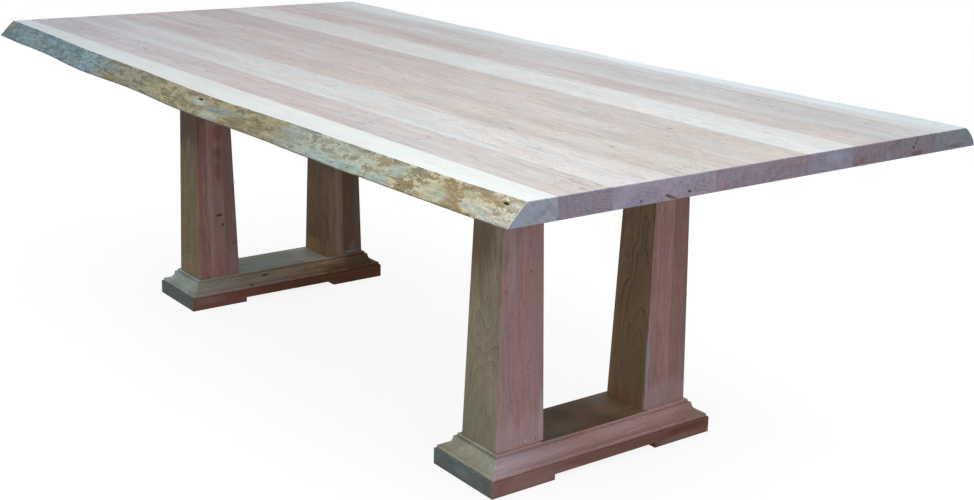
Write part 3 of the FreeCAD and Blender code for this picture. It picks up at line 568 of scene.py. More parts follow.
boards = {
    "top_board_2": dict(
        tones=((0.69, 0.665, 0.64), (0.63, 0.58, 0.59), (0.573, 0.573, 0.63)),
        end=(0.315, 0.265, 0.333), seed=2.0,
        figure=0.005, ring_strength=0.6,
        swells=[((1.10, -0.45, TOP), (0.13, 0.035, 0.1), 0.010),
                ((0.55, -0.44, TOP), (0.20, 0.03, 0.1), 0.008)],
        knots=[on_top(1.194, -0.404, 0.011, 0.005, 0.55, (0.20, 0.18, 0.26)),
               on_top(1.198, -0.444, 0.013, 0.005, 0.6, (0.20, 0.18, 0.26))]),
    "top_board_3": dict(
        tones=((0.77, 0.755, 0.74), (0.70, 0.70, 0.69), (0.602, 0.602, 0.635)),
        end=(0.38, 0.34, 0.43), seed=3.0,
        strip=(-0.391, -0.362, (0.80, 0.83, 0.82), (0.62, 0.62, 0.66)), pith=(0, 0.009, -0.022),
        deep=(0.88, 0.83, 0.81),
        knots=[on_end(-0.329, 0.7293, 0.0046, 0.0036, 0.9, (0.14, 0.06, 0.055))]),
    "top_board_4": dict(
        tones=((0.68, 0.655, 0.615), (0.62, 0.545, 0.52), (0.61, 0.57, 0.597)),
        end=(0.39, 0.337, 0.417), seed=4.0,
        strip=(-0.250, -0.256, (0.78, 0.75, 0.73), (0.62, 0.62, 0.65)),
        knots=[on_end(-0.2690, 0.7315, 0.0075, 0.0036, 0.9, (0.13, 0.06, 0.05)),
               on_end(-0.2630, 0.7292, 0.0075, 0.0036, 0.9, (0.11, 0.05, 0.04)),
               on_end(-0.2560, 0.7264, 0.0075, 0.0036, 0.9, (0.15, 0.075, 0.06)),
               on_end(-0.2490, 0.7238, 0.0075, 0.0034, 0.8, (0.17, 0.09, 0.075)),
               on_end(-0.2160, 0.7325, 0.0050, 0.0032, 0.95, (0.035, 0.045, 0.04)),
               on_end(-0.2025, 0.7335, 0.0014, 0.0100, 0.6, (0.10, 0.07, 0.10)),
               on_top(0.98, -0.185, 0.012, 0.004, 0.7, (0.20, 0.14, 0.15)),
               on_top(0.75, -0.245, 0.012, 0.004, 0.7, (0.20, 0.14, 0.15)),
               on_top(1.174, -0.186, 0.008, 0.003, 0.6, (0.22, 0.16, 0.17)),
               on_top(1.04, -0.232, 0.009, 0.003, 0.6, (0.22, 0.16, 0.15)),
               on_top(0.22, -0.175, 0.012, 0.003, 0.6, (0.22, 0.16, 0.17))]),
    "top_board_5": dict(
        tones=((0.68, 0.665, 0.635), (0.637, 0.583, 0.573), (0.642, 0.598, 0.62)),
        end=(0.327, 0.262, 0.322), seed=5.0,
        strip=(-0.148, -0.127, (0.68, 0.63, 0.60), (0.55, 0.50, 0.52)),
        swells=[((0.95, -0.09, TOP), (0.16, 0.04, 0.1), 0.009)],
        knots=[on_top(1.035, -0.105, 0.014, 0.0022, 0.55, (0.32, 0.27, 0.28)),
               on_top(1.005, -0.113, 0.014, 0.0022, 0.55, (0.32, 0.27, 0.28)),
               on_top(1.045, -0.121, 0.012, 0.0022, 0.50, (0.34, 0.29, 0.29)),
               on_top(0.17, -0.115, 0.010, 0.0030, 0.60, (0.24, 0.19, 0.21)),
               on_top(-0.33, -0.105, 0.016, 0.0040, 0.75, (0.15, 0.12, 0.15))],
        stains=[on_end(-0.128, 0.7305, 0.004, 0.006, 0.6, (0.28, 0.14, 0.15)),
                on_end(-0.096, 0.7312, 0.003, 0.007, 0.6, (0.28, 0.14, 0.15))]),
    "top_board_6": dict(
        tones=((0.67, 0.645, 0.61), (0.61, 0.55, 0.535), (0.559, 0.501, 0.516)),
        end=(0.33, 0.266, 0.322), seed=6.0,
        strip=(-0.033, -0.008, (0.68, 0.65, 0.62), (0.61, 0.56, 0.58)),
        knots=[on_top(0.91, 0.03, 0.013, 0.005, 0.75, (0.19, 0.15, 0.19)),
               on_top(-0.25, 0.055, 0.016, 0.004, 0.7, (0.15, 0.12, 0.17))]),
    "top_board_7": dict(
        tones=((0.80, 0.825, 0.82), (0.755, 0.765, 0.76), (0.726, 0.707, 0.702)),
        end=(0.34, 0.30, 0.39), seed=7.0,
        strip=(0.090, 0.116, (0.66, 0.62, 0.59), (0.56, 0.50, 0.51)), pith=(0, -0.06, -0.05),
        deep=(0.92, 0.90, 0.90),
        stains=[on_end(0.17, 0.748, 0.032, 0.011, 0.6, (0.40, 0.43, 0.55))]),
    "top_board_8": dict(
        tones=((0.655, 0.62, 0.61), (0.605, 0.553, 0.547), (0.69, 0.60, 0.60)),
        end=(0.29, 0.235, 0.27), seed=8.0,
        strip=(0.224, 0.254, (0.79, 0.79, 0.78), (0.68, 0.65, 0.65)),
        stains=[on_end(0.247, 0.731, 0.013, 0.008, 0.75, (0.27, 0.13, 0.13)),
                on_end(0.229, 0.727, 0.010, 0.004, 0.5, (0.16, 0.09, 0.10))]),
    "top_board_9": dict(
        tones=((0.603, 0.617, 0.627), (0.665, 0.675, 0.68), (0.688, 0.668, 0.688)),
        end=(0.27, 0.227, 0.265), seed=9.0,
        strip=(0.318, 0.345, (0.65, 0.61, 0.60), (0.62, 0.54, 0.54)),
        knots=[on_end(0.413, 0.757, 0.0022, 0.006, 0.85, (0.04, 0.06, 0.045)),
               on_end(0.409, 0.749, 0.0028, 0.007, 0.85, (0.04, 0.05, 0.05)),
               on_end(0.403, 0.7405, 0.0042, 0.005, 0.95, (0.02, 0.025, 0.028)),
               on_top(-0.33, 0.425, 0.016, 0.004, 0.6, (0.20, 0.17, 0.22)),
               on_top(0.85, 0.392, 0.010, 0.005, 0.7, (0.22, 0.17, 0.22)),
               on_top(0.78, 0.425, 0.010, 0.005, 0.6, (0.22, 0.17, 0.22)),
               on_top(1.055, 0.310, 0.010, 0.004, 0.6, (0.24, 0.19, 0.21))],
        stains=[on_end(0.412, 0.7275, 0.022, 0.006, 0.8, (0.17, 0.10, 0.09)),
                on_end(0.325, 0.732, 0.012, 0.012, 0.6, (0.34, 0.34, 0.46)),
                ((0.95, 0.355, TOP), (0.22, 0.02, 0.02), 0.5, (0.66, 0.57, 0.55)),
                ((0.30, 0.35, TOP), (0.30, 0.018, 0.02), 0.4, (0.64, 0.57, 0.56))]),
}


# The tones of a board's ends hold from this far out; in between they blend
TONES_END = 1.1


def along_board(r, x, tones):
    """A colour that changes slowly from the near end over the middle to the far end."""
    near, middle, far = tones
    half = r.mix(r.between(x, TONES_END, 0.0, kind="LINEAR"), near, middle)
    return r.mix(r.between(x, 0.0, -TONES_END, kind="LINEAR"), half, far)


def wavering(r, x, spot, near, far):
    """A wavy line along the boards, from its place at the near end to that towards the far end."""
    wave = r.times(r.swing(spot, (2.5, 3, 3), 3.0), 0.014)
    return r.add(r.between(x, LENGTH / 2, -0.8, near, far, "LINEAR"), wave)


def board_finish(tones, strip=None, deep=(0.82, 0.735, 0.705), blend=(-0.004, 0.004)):
    """The tone changes slowly from end to end, with a strip of other wood in front of a wavy line.

    The strip is the line's place at the near end and at the far end, then one colour or two."""
    def finish(r, spot, facing, tone, group):
        x, y, _ = r.parts(spot)
        ground = along_board(r, x, tones)
        if strip:
            near, far, *woods = strip
            inside = r.less(wavering(r, x, spot, near, far), y)
            blended = r.between(x, TONES_END, -TONES_END, kind="LINEAR")
            wood = r.mix(blended, *woods) if len(woods) > 1 else woods[0]
            ground = r.mix(r.between(inside, *blend), ground, wood)
        r.give(group, {"Ground": ground, "Deep": r.product(ground, deep)})
        return tone
    return finish


usual_board = dict(line=(0.36, 0.25, 0.23), pith=(0, 0.01, -0.06), lean=(0, 0.01, -0.025),
                   ring_width=0.005, ring_strength=0.42, wander=0.07, figure=0.009, ribbon=0.65,
                   fibre=0.48, warmth=0.40, flecks=0.9)
for node, board in boards.items():
    finish = board_finish(**{key: board.pop(key) for key in ("tones", "strip", "deep") if key in board})
    dress(node, cherry_material(node, "x", middle_of(node), finish, bump=0.2, **{**usual_board, **board}))

# Tabletop, live-edge boards
# The outer boards keep the natural edge of the log. The bark was peeled off, so the edge is
# a lumpy, bevelled surface stained in patches by weather, under a clean band of sapwood.
ARRIS_EASE = 0.0012
WAVE_HEIGHT = 0.0028
# Lumps of the peeled surface as (height, along, upward, place in the noise); all lie inside the solid
LUMPS = ((0.0016, 9, 45, 3.7), (0.0009, 38, 90, 8.1), (0.0004, 120, 160, 1.3))
LUMPS_INSIDE, GOUGE_DEPTH = 0.0014, 0.006
live_edges = {
    "front": dict(
        side=-1, joint=0.512, width=0.126, bevel=0.037, lower=(0.026, 0.018), upper=(0.0265, 0.023),
        lower_waves=((3.25, 0.02), (4.25, 0.13)), upper_waves=((1.5, 0.16), (3.25, 0.03)),
        profile=((0, 1), (0.3, 0.67), (0.65, 0.31), (0.87, 0.10), (1, 0)),
        gouges=(((1.1775, 0.7512), (0.0078, 0.0015), 0.06), ((0.1230, 0.7510), (0.012, 0.0016), -0.03))),
    "back": dict(
        side=1, joint=0.470, width=0.168, bevel=0.033, lower=(-0.0295, -0.037), upper=(-0.028, -0.017),
        lower_waves=((1.6, 0.30), (5.3, 0.60)), upper_waves=((5.0, 0.17), (6.75, 0.24)),
        profile=((0, 1), (0.3, 0.52), (0.65, 0.16), (0.87, 0.02), (1, 0)),
        gouges=(((-0.62, 0.744), (0.014, 0.0025), -0.2), ((0.47, 0.739), (0.010, 0.002), 0.3))),
}


def stands_out(share, bow_and_drift, waves):
    """How far an arris stands out at a share of the length, from -0.5 to 0.5."""
    bow, drift = bow_and_drift
    height = sum(math.sin(2 * math.pi * (cycles * share + start)) for cycles, start in waves)
    return drift * share - bow * (2 * share) ** 2 + WAVE_HEIGHT * height


def left_of_bevel(depth, profile):
    """How much of the bevel is left at a depth, smooth through the profile's points."""
    for index in range(len(profile) - 1):
        (d0, v0), (d1, v1) = profile[index], profile[index + 1]
        if depth <= d1:
            before = profile[index - 1] if index else (2 * d0 - d1, 2 * v0 - v1)
            after = profile[index + 2] if index + 2 < len(profile) else (2 * d1 - d0, 2 * v1 - v0)
            slope0 = (v1 - before[1]) / (d1 - before[0]) * (d1 - d0)
            slope1 = (after[1] - v0) / (after[0] - d0) * (d1 - d0)
            t = (depth - d0) / (d1 - d0)
            return ((2 * t**3 - 3 * t**2 + 1) * v0 + (t**3 - 2 * t**2 + t) * slope0
                    + (3 * t**2 - 2 * t**3) * v1 + (t**3 - t**2) * slope1)
    return profile[-1][1]


def live_edge_mesh(name, edge, stations=780, depths=22):
    """The board's closed mesh; faces on the natural edge take the second material."""
    built = bmesh.new()
    side, rings = edge["side"], []
    shares = [index / stations - 0.5 for index in range(stations + 1)]
    furthest = max(stands_out(share, edge["lower"], edge["lower_waves"]) for share in shares)
    shares = [-0.5, -0.5 + ARRIS_EASE / LENGTH, *shares[1:-1], 0.5 - ARRIS_EASE / LENGTH, 0.5]
    for share in shares:
        x = LENGTH * share
        low = stands_out(share, edge["lower"], edge["lower_waves"])
        high = stands_out(share, edge["upper"], edge["upper_waves"])
        outer = edge["joint"] + edge["width"] - furthest + low
        bevel = edge["bevel"] + low - high
        ease = ARRIS_EASE if abs(share) == 0.5 else 0.0
        section = [(edge["joint"], ease)]
        for row in range(depths + 1):
            depth = 1 - row / depths
            y = outer - bevel * left_of_bevel(depth, edge["profile"])
            z = min(max(THICKNESS * (1 - depth), ease), THICKNESS - ease)
            wear = -LUMPS_INSIDE
            for height, along, upward, place in LUMPS:
                wear += height * noise.noise((x * along, z * upward, side * place))
            for (gx, gz), (rx, rz), tilt in edge["gouges"]:
                dx, dz = x - gx, TOP - THICKNESS + z - gz
                away = (dx / rx) ** 2 + ((dz + dx * tilt) / rz) ** 2
                wear -= GOUGE_DEPTH * math.exp(-away)
            section.append((y + wear, z))
        section.append((edge["joint"], THICKNESS - ease))
        rings.append([built.verts.new((x, side * y, TOP - THICKNESS + z)) for y, z in section])
    for first, second in zip(rings, rings[1:]):
        for index in range(len(first)):
            after = (index + 1) % len(first)
            face = built.faces.new((first[index], first[after], second[after], second[index]))
            if 0 < index <= depths:
                face.material_index, face.smooth = 1, True
    built.faces.new(rings[0])
    built.faces.new(reversed(rings[-1]))
    bmesh.ops.recalc_face_normals(built, faces=built.faces)
    mesh = bpy.data.meshes.new(name)
    built.to_mesh(mesh)
    built.free()
    return mesh


def weathered_material(name, seed, dark_stops, light_stops, edge, patches, gouges):
    """The peeled surface of the log: stain in hard-edged patches that change along the edge.

    The edge is a place across and a reach; patches are (x, z, half length, half height, share, colour)."""
    material, r, shader, spot = new_material(name)
    strewn = r.vector("ADD", spot, (seed, 0.3 * seed, 0.7 * seed))
    x, _, z = r.parts(spot)
    share = r.between(x, -LENGTH / 2, LENGTH / 2, kind="LINEAR")
    share = r.add(share, r.times(r.swing(strewn, (9, 20, 20), 3.0), 0.05))

    def along(stops):
        ramp = r.step("ShaderNodeValToRGB", fed={0: share})
        points = ramp.node.color_ramp.elements
        while len(points) < len(stops):
            points.new(0.5)
        for point, (position, shade) in zip(points, stops):
            point.position, point.color = position, (*shade, 1.0)
        return ramp

    dark, light = along(dark_stops), along(light_stops)
    lively = r.between(x, 0.85, 1.08, 0.82, 1.12, "LINEAR")
    big = r.noise(strewn, (14, 34, 34), 5.0, 0.68, 0.6)
    middling = r.noise(strewn, (42, 80, 80), 4.0, 0.65, 0.5)
    small = r.noise(strewn, (130, 230, 230), 4.0, 0.7)
    streaks = r.noise(strewn, (24, 150, 150), 5.0, 0.66, 0.5)
    patch = r.add(r.times(big, 0.45), r.times(middling, 0.2), r.times(streaks, 0.2), r.times(small, 0.15))
    tone = r.mix(r.between(patch, 0.478, 0.522), dark, light)
    ragged = r.add(r.times(middling, 1.6), r.times(streaks, 1.2), r.times(small, 2.0), -2.4)
    for at_x, at_z, long, high, amount, shade in patches:
        away = r.reach(spot, (at_x, edge[0], at_z), (long, edge[1], high))
        inside = r.times(r.between(r.add(away, ragged), 1.08, 0.92), amount)
        tone = r.mix(inside, tone, shade)
    veined = r.add(r.times(small, 0.9), r.times(streaks, 1.35), r.times(middling, 0.4), -1.325)
    veined = r.add(r.times(veined, lively), 1.0)
    tinge = r.add(r.noise(strewn, (18, 85, 85), 4.0, 0.6, 0.5), -0.5)
    tinge = r.times(tinge, r.between(x, 0.8, 1.0, 0.66, 0.42))
    shade = r.join(r.add(veined, tinge), veined, r.add(veined, r.times(tinge, -1.1)))
    tone = r.product(tone, shade)
    pits = r.between(r.noise(strewn, (120, 190, 190), 1.0), 0.69, 0.76)
    tone = r.mix(r.times(pits, 0.75), tone, (0.07, 0.055, 0.04))
    # Painted shade: the gouges are darkened almost to black in their hollows
    for (gx, gz), (rx, rz), tilt in gouges:
        fx = r.less(x, gx)
        fz = r.add(r.less(z, gz), r.times(fx, tilt))
        away = r.vector("LENGTH", r.join(r.sum("DIVIDE", fx, rx), r.sum("DIVIDE", fz, rz), 0.0), result=1)
        tone = r.mix(r.between(away, 1.15, 0.75), tone, (0.018, 0.012, 0.008))
    # Painted shade: the surface darkens towards the lower arris, where it curves in under the board
    under = r.times(r.between(z, TOP - THICKNESS + 0.0030, TOP - THICKNESS + 0.0008),
                    r.between(big, 0.42, 0.56, 0.25, 0.85))
    tone = r.mix(under, tone, (0.13, 0.14, 0.15))
    cut_edge = r.between(r.unsigned(x), LENGTH / 2 - 0.0034, LENGTH / 2 - 0.0022)
    tone = r.mix(r.times(cut_edge, 0.75), tone, (0.78, 0.70, 0.60))
    relief = r.add(r.times(middling, 1.0), r.times(small, 0.5), r.times(pits, -0.8))
    r.give(shader, {
        "Base Color": tone, "Roughness": r.add(r.times(middling, 0.25), 0.55), "Specular IOR Level": 0.2,
        "Normal": r.step("ShaderNodeBump", fed={"Strength": 0.7, "Distance": 0.0016, "Height": relief})})
    return material


weathering = {
    "front": dict(
        seed=3.0,
        dark_stops=((0.0, (0.175, 0.225, 0.23)), (0.03, (0.155, 0.23, 0.26)), (0.30, (0.165, 0.24, 0.27)),
                    (0.34, (0.215, 0.205, 0.15)), (0.42, (0.225, 0.20, 0.125)), (0.52, (0.28, 0.24, 0.14)),
                    (0.69, (0.28, 0.24, 0.14)), (0.72, (0.27, 0.29, 0.235)), (0.80, (0.32, 0.315, 0.23)),
                    (0.85, (0.30, 0.255, 0.15)), (0.90, (0.345, 0.27, 0.14)), (0.955, (0.38, 0.285, 0.14)),
                    (1.0, (0.44, 0.40, 0.26))),
        light_stops=((0.0, (0.29, 0.345, 0.325)), (0.03, (0.25, 0.35, 0.375)), (0.30, (0.275, 0.375, 0.395)),
                     (0.34, (0.34, 0.345, 0.28)), (0.42, (0.36, 0.345, 0.245)), (0.48, (0.43, 0.385, 0.25)),
                     (0.56, (0.42, 0.37, 0.24)), (0.69, (0.41, 0.355, 0.22)), (0.72, (0.43, 0.475, 0.41)),
                     (0.80, (0.52, 0.54, 0.43)), (0.86, (0.54, 0.54, 0.415)), (0.91, (0.58, 0.545, 0.37)),
                     (0.955, (0.63, 0.585, 0.41)), (1.0, (0.68, 0.645, 0.52))),
        edge=(-0.61, 0.07),
        patches=((1.185, 0.7270, 0.040, 0.0065, 0.75, (0.70, 0.65, 0.53)),
                 (1.203, 0.7520, 0.016, 0.0060, 0.75, (0.66, 0.66, 0.62)),
                 (1.125, 0.7345, 0.040, 0.0080, 0.90, (0.58, 0.59, 0.505)),
                 (1.140, 0.7530, 0.045, 0.0065, 0.85, (0.43, 0.355, 0.21)),
                 (1.093, 0.7490, 0.024, 0.0045, 0.85, (0.54, 0.51, 0.37)),
                 (1.053, 0.7350, 0.028, 0.0170, 0.85, (0.375, 0.305, 0.175)),
                 (1.043, 0.7375, 0.010, 0.0080, 0.80, (0.45, 0.39, 0.25)),
                 (1.007, 0.7330, 0.032, 0.0120, 0.90, (0.59, 0.575, 0.405)),
                 (0.945, 0.7560, 0.034, 0.0055, 0.85, (0.30, 0.275, 0.185)),
                 (0.888, 0.7500, 0.028, 0.0090, 0.90, (0.47, 0.51, 0.43)),
                 (0.838, 0.7540, 0.028, 0.0075, 0.80, (0.32, 0.28, 0.175)),
                 (0.845, 0.7270, 0.035, 0.0065, 0.90, (0.47, 0.54, 0.47)),
                 (0.730, 0.7525, 0.036, 0.0055, 0.80, (0.45, 0.465, 0.365)),
                 (0.700, 0.7310, 0.110, 0.0090, 0.75, (0.44, 0.53, 0.47)),
                 (0.642, 0.7535, 0.022, 0.0050, 0.75, (0.34, 0.345, 0.265)),
                 (0.520, 0.7480, 0.048, 0.0130, 0.75, (0.37, 0.42, 0.355)),
                 (0.445, 0.7330, 0.030, 0.0050, 0.55, (0.45, 0.41, 0.28)),
                 (0.225, 0.7440, 0.050, 0.0065, 0.80, (0.31, 0.36, 0.31)),
                 (0.195, 0.7300, 0.045, 0.0080, 0.85, (0.455, 0.50, 0.425)),
                 (0.120, 0.7480, 0.040, 0.0065, 0.90, (0.435, 0.525, 0.465)),
                 (-0.140, 0.7530, 0.045, 0.0060, 0.70, (0.34, 0.335, 0.235)),
                 (0.215, 0.7400, 0.045, 0.0016, 0.60, (0.19, 0.22, 0.23)),
                 (-0.300, 0.7285, 0.130, 0.0060, 0.75, (0.31, 0.26, 0.155)),
                 (-0.385, 0.7490, 0.030, 0.0060, 0.75, (0.24, 0.345, 0.39)),
                 (-0.733, 0.7350, 0.022, 0.0030, 0.60, (0.27, 0.25, 0.18)),
                 (-1.200, 0.7520, 0.030, 0.0120, 0.60, (0.25, 0.24, 0.175)))),
    "back": dict(
        seed=8.0,
        dark_stops=((0.0, (0.30, 0.28, 0.17)), (0.3, (0.33, 0.27, 0.15)), (0.55, (0.24, 0.27, 0.24)),
                    (0.8, (0.20, 0.25, 0.29)), (1.0, (0.19, 0.25, 0.31))),
        light_stops=((0.0, (0.55, 0.52, 0.38)), (0.3, (0.56, 0.50, 0.34)), (0.55, (0.46, 0.50, 0.44)),
                     (0.8, (0.38, 0.48, 0.54)), (1.0, (0.36, 0.46, 0.53))),
        edge=(0.60, 0.05), patches=((-0.4, 0.738, 0.09, 0.014, 0.7, (0.52, 0.60, 0.55)),)),
}


# The darker ribbons in the outer boards, as a tint of their pale wood
SAP_DEEP = (0.93, 0.90, 0.88)
sapwood = {
    "front": dict(
        finish=board_finish(((0.90, 0.95, 0.94), (0.775, 0.80, 0.79), (0.72, 0.79, 0.81)), deep=SAP_DEEP),
        end=(0.37, 0.395, 0.47), pith=(0, 0.16, -0.12), seed=61.0,
        stains=[on_end(-0.5560, 0.7320, 0.009, 0.0065, 0.6, (0.31, 0.26, 0.36)),
                on_end(-0.5440, 0.7400, 0.009, 0.0065, 0.6, (0.29, 0.24, 0.34)),
                on_end(-0.5310, 0.7480, 0.009, 0.0065, 0.5, (0.30, 0.26, 0.36)),
                on_end(-0.595, 0.735, 0.016, 0.02, 0.5, (0.33, 0.41, 0.46))]),
    "back": dict(
        finish=board_finish(((0.72, 0.79, 0.82), (0.85, 0.93, 0.96), (0.755, 0.79, 0.80)),
                            (0.512, 0.499, (0.66, 0.675, 0.685)), SAP_DEEP, (-0.020, 0.014)),
        end=(0.258, 0.26, 0.31), pith=(0, -0.16, -0.12), seed=62.0,
        stains=[on_end(0.560, 0.752, 0.026, 0.010, 0.7, (0.22, 0.32, 0.35)),
                on_end(0.590, 0.740, 0.012, 0.014, 0.6, (0.22, 0.30, 0.33)),
                on_end(0.545, 0.729, 0.030, 0.006, 0.7, (0.17, 0.13, 0.13))]),
}
for name, edge in live_edges.items():
    node = f"{name}_live_edge_board"
    board = bpy.data.objects.new(f"{name}_live_edge", live_edge_mesh(node, edge))
    bpy.context.scene.collection.objects.link(board)
    sawn = cherry_material(
        node, "x", middle_of(node), bump=0.2, line=(0.60, 0.55, 0.52), lean=(0, 0.02, -0.02), ring_width=0.004,
        ring_strength=0.2, wander=0.02, ribbon=0.7, fibre=0.26, warmth=0.14, flecks=0.5, **sapwood[name])
    peeled = weathered_material(f"{name}_weathered_edge", gouges=edge["gouges"], **weathering[name])
    for material in (sawn, peeled):
        board.data.materials.append(material)
    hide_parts(node)
    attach(board, "root")

# Screws, bolts and washers
# Zinc-plated lag screws with flat washers hold the cleats to the boards, and larger ones run
# up from counterbores under the feet into the columns. All are bought hexagon-headed hardware.
def zinc_material():
    material, r, shader, spot = new_material("zinc_plated_steel")
    spangle = r.noise(spot, (900, 900, 900), 3.0, 0.6)
    cloud = r.noise(spot, (160, 160, 160), 2.0)
    r.give(shader, {
        "Base Color": r.mix(r.between(cloud, 0.35, 0.65), (0.50, 0.51, 0.51), (0.66, 0.66, 0.63)),
        "Roughness": r.add(r.times(spangle, 0.3), 0.25), "Metallic": 1.0,
        "Normal": r.step("ShaderNodeBump", fed={"Strength": 0.3, "Distance": 0.0002, "Height": spangle})})
    return material


def fastener_tree(name, inputs, shape):
    """Sets one fastener on every point; shape draws it about its seat from the named sizes."""
    tree = bpy.data.node_groups.new(name, "GeometryNodeTree")
    tree.interface.new_socket("Geometry", in_out="OUTPUT", socket_type="NodeSocketGeometry")
    tree.interface.new_socket("Geometry", in_out="INPUT", socket_type="NodeSocketGeometry")
    tree.interface.new_socket("Material", in_out="INPUT", socket_type="NodeSocketMaterial")
    for size in inputs:
        tree.interface.new_socket(size, in_out="INPUT", socket_type="NodeSocketFloat")
    given = tree.nodes.new("NodeGroupInput").outputs
    r = Recipe(tree)
    joined = tree.nodes.new("GeometryNodeJoinGeometry")
    for part in shape(r, {size: given[size] for size in inputs}):
        tree.links.new(part, joined.inputs[0])
    chance = r.step("FunctionNodeRandomValue", 1, {2: 0.0, 3: 1.05, "Seed": 7})
    placed = r.step("GeometryNodeInstanceOnPoints", fed={
        "Points": given["Geometry"], "Instance": joined.outputs[0], "Rotation": r.join(0.0, 0.0, chance)})
    real = r.step("GeometryNodeRealizeInstances", fed={0: placed})
    dressed = r.step("GeometryNodeSetMaterial", fed={"Geometry": real, "Material": given["Material"]})
    tree.links.new(dressed, tree.nodes.new("NodeGroupOutput").inputs[0])
    return tree


def moved_up(r, part, height):
    return r.step("GeometryNodeTransform", fed={"Geometry": part, "Translation": r.join(0.0, 0.0, height)})


def hexagon_screw(r, sizes):
    """A chamfered hexagon head under the seat; above it a shank with a thread and a point."""
    corner = r.times(sizes["Flats"], 1 / math.sqrt(3))
    head, rim = r.times(sizes["Head"], 0.84), r.times(sizes["Head"], 0.16)
    block = r.step("GeometryNodeMeshCylinder", fed={"Vertices": 6, "Radius": corner, "Depth": head})
    yield moved_up(r, block, r.times(head, -0.5))
    chamfer = r.step("GeometryNodeMeshCone", fed={
        "Vertices": 6, "Radius Bottom": r.times(corner, 0.88), "Radius Top": corner, "Depth": rim})
    yield moved_up(r, chamfer, r.times(sizes["Head"], -1.0))
    straight = r.less(sizes["Length"], sizes["Point"])
    core = r.times(sizes["Shank"], 0.42)
    rod = r.step("GeometryNodeMeshCylinder", fed={"Vertices": 24, "Radius": core, "Depth": straight})
    yield moved_up(r, rod, r.times(straight, 0.5))
    point = r.step("GeometryNodeMeshCone", fed={
        "Vertices": 24, "Radius Bottom": core, "Radius Top": r.times(core, 0.1), "Depth": sizes["Point"]})
    yield moved_up(r, point, straight)
    ridge = r.times(sizes["Shank"], 0.07)
    threaded = r.times(straight, 0.7)
    spiral = r.step("GeometryNodeCurveSpiral", fed={
        "Resolution": 20, "Rotations": r.sum("DIVIDE", threaded, sizes["Pitch"]),
        "Start Radius": core, "End Radius": core, "Height": threaded})
    profile = r.step("GeometryNodeCurvePrimitiveCircle", fed={"Resolution": 3, "Radius": ridge})
    thread = r.step("GeometryNodeCurveToMesh", fed={
        "Curve": spiral, "Profile Curve": profile, "Fill Caps": True})
    yield moved_up(r, thread, r.times(straight, 0.28))


def flat_washer(r, sizes):
    """A ring whose upper face lies on the seat."""
    ring = r.times(r.less(sizes["Outside"], sizes["Hole"]), 0.5)
    middle = r.times(r.add(sizes["Outside"], sizes["Hole"]), 0.25)
    circle = r.step("GeometryNodeCurvePrimitiveCircle", fed={"Resolution": 48, "Radius": middle})
    section = r.step("GeometryNodeCurvePrimitiveQuadrilateral", fed={
        "Width": ring, "Height": sizes["Thickness"]})
    swept = r.step("GeometryNodeCurveToMesh", fed={"Curve": circle, "Profile Curve": section})
    yield moved_up(r, swept, r.times(sizes["Thickness"], -0.5))


screw_tree = fastener_tree(
    "hexagon_screws", ("Flats", "Head", "Shank", "Length", "Point", "Pitch"), hexagon_screw)
washer_tree = fastener_tree("flat_washers", ("Outside", "Hole", "Thickness"), flat_washer)
# Each kind of fastener: its tree, its rows across the table, the height of its seat, and its sizes
CLEAT_SCREW_ROWS = (-0.453, -0.334, -0.0915, 0.030, 0.391)
COLUMN_ROWS = (-0.208, 0.208)
fasteners = {
    "cleat_screws": (screw_tree, CLEAT_SCREW_ROWS, 0.6875, dict(
        Flats=0.010, Head=0.0045, Shank=0.006, Length=0.052, Point=0.006, Pitch=0.0025)),
    "cleat_washers": (washer_tree, CLEAT_SCREW_ROWS, 0.6895, dict(Outside=0.022, Hole=0.0066, Thickness=0.002)),
    "column_bolts": (screw_tree, COLUMN_ROWS, 0.0165, dict(
        Flats=0.017, Head=0.007, Shank=0.010, Length=0.110, Point=0.009, Pitch=0.004)),
    "bolt_washers": (washer_tree, COLUMN_ROWS, 0.019, dict(Outside=0.030, Hole=0.011, Thickness=0.0025)),
}
zinc = zinc_material()
for pedestal, middle in PEDESTALS.items():
    for kind, (tree, rows, seat, sizes) in fasteners.items():
        node = f"{pedestal}_{kind}"
        mesh = bpy.data.meshes.new(node)
        mesh.from_pydata([(middle, row, seat) for row in rows], [], [])
        piece = bpy.data.objects.new(f"{node}_seen", mesh)
        bpy.context.scene.collection.objects.link(piece)
        modifier = piece.modifiers.new("fasteners", "NODES")
        modifier.node_group = tree
        for socket in tree.interface.items_tree:
            if socket.in_out == "INPUT" and socket.name in sizes:
                modifier[socket.identifier] = sizes[socket.name]
            elif socket.name == "Material":
                modifier[socket.identifier] = zinc
        made = bpy.data.meshes.new_from_object(piece.evaluated_get(bpy.context.evaluated_depsgraph_get()))
        piece.modifiers.clear()
        piece.data = made
        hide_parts(node)
        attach(piece, "root")

# Floor and backdrop
# A plain white studio floor under a white world. Both are seen as white, and the floor
# keeps a faint shadow of the table.
EDGE = 14.0
corners = [(x * EDGE, y * EDGE, 0) for x, y in ((-1, -1), (1, -1), (1, 1), (-1, 1))]
floor_mesh = bpy.data.meshes.new("floor")
floor_mesh.from_pydata(corners, [], [(0, 1, 2, 3)])
floor = bpy.data.objects.new("floor", floor_mesh)
bpy.context.scene.collection.objects.link(floor)
floor_material = bpy.data.materials.new("white_floor")
floor_mesh.materials.append(floor_material)
world = bpy.context.scene.world = bpy.data.worlds.new("white_studio")


def two_looks(r, output, lit, seen):
    """One look for what the camera sees, itself or in a gloss, and another for light that bounces."""
    rays = r.step("ShaderNodeLightPath").node.outputs
    straight = r.sum("MAXIMUM", rays["Is Camera Ray"],
                     r.sum("MAXIMUM", rays["Is Glossy Ray"], rays["Is Transmission Ray"]))
    r.step(output, fed={"Surface": r.step("ShaderNodeMixShader", fed={0: straight, 1: lit, 2: seen})})


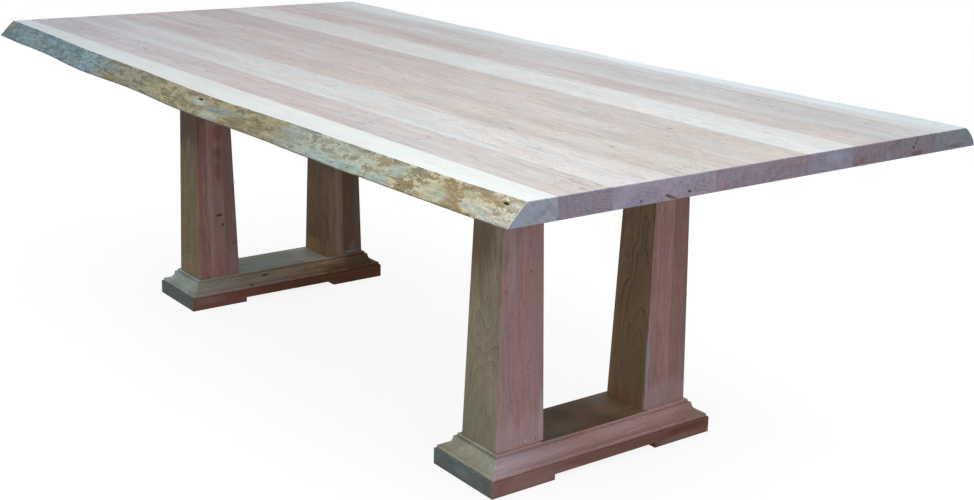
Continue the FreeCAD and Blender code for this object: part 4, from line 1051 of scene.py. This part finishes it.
for user in (floor_material, world):
    user.use_nodes = True
    user.node_tree.nodes.clear()
r = Recipe(floor_material.node_tree)
plain = r.step("ShaderNodeBsdfDiffuse", fed={"Color": (0.40, 0.40, 0.40)})
shadowed = r.step("ShaderNodeBsdfDiffuse", fed={"Color": (0.25, 0.25, 0.25)})
glow = r.step("ShaderNodeEmission", fed={"Color": (1, 1, 1), "Strength": 0.87})
two_looks(r, "ShaderNodeOutputMaterial", plain, r.step("ShaderNodeAddShader", fed={0: shadowed, 1: glow}))
r = Recipe(world.node_tree)
soft = r.step("ShaderNodeBackground", fed={"Color": (0.97, 1.0, 1.03), "Strength": 0.55})
white = r.step("ShaderNodeBackground", fed={"Color": (1, 1, 1), "Strength": 1.0})
two_looks(r, "ShaderNodeOutputWorld", soft, white)

# Lamps
# A broad soft lamp hangs over the near end, and a weaker one stands off that end.
lamps = {
    "overhead": dict(size=(3.0, 3.0), energy=41, place=(1.3, -0.5, 3.2), aim=(1.3, -0.5, 0)),
    "near_end": dict(size=(1.6, 1.2), energy=9, place=(3.2, -1.5, 1.2), aim=(0.9, 0, 0.4)),
}
for name, lamp in lamps.items():
    light = bpy.data.lights.new(name, "AREA")
    light.shape = "RECTANGLE"
    light.size, light.size_y = lamp["size"]
    light.energy = lamp["energy"]
    holder = bpy.data.objects.new(name, light)
    holder.location = lamp["place"]
    holder.rotation_euler = (Vector(lamp["aim"]) - Vector(lamp["place"])).to_track_quat("-Z", "Y").to_euler()
    bpy.context.scene.collection.objects.link(holder)

# Camera
# It stands off the near front corner at standing height, as in the photograph.
camera = bpy.data.objects.new("camera", bpy.data.cameras.new("camera"))
bpy.context.scene.collection.objects.link(camera)
camera.data.sensor_width = 36.0
camera.data.lens = 51.72
turn, rise, roll = (math.radians(angle) for angle in (52.873, 16.551, 1.436))
back = Vector((math.sin(turn) * math.cos(rise), -math.cos(turn) * math.cos(rise), math.sin(rise)))
right = Vector((math.cos(turn), math.sin(turn), 0))
up = back.cross(right)
right, up = math.cos(roll) * right + math.sin(roll) * up, math.cos(roll) * up - math.sin(roll) * right
place = Matrix.Translation((2.884829, -1.913602, 1.316052))
camera.matrix_world = place @ Matrix((right, up, back)).transposed().to_4x4()
camera.data.clip_end = 100
bpy.context.scene.camera = camera
bpy.context.scene.view_settings.view_transform = "Standard"
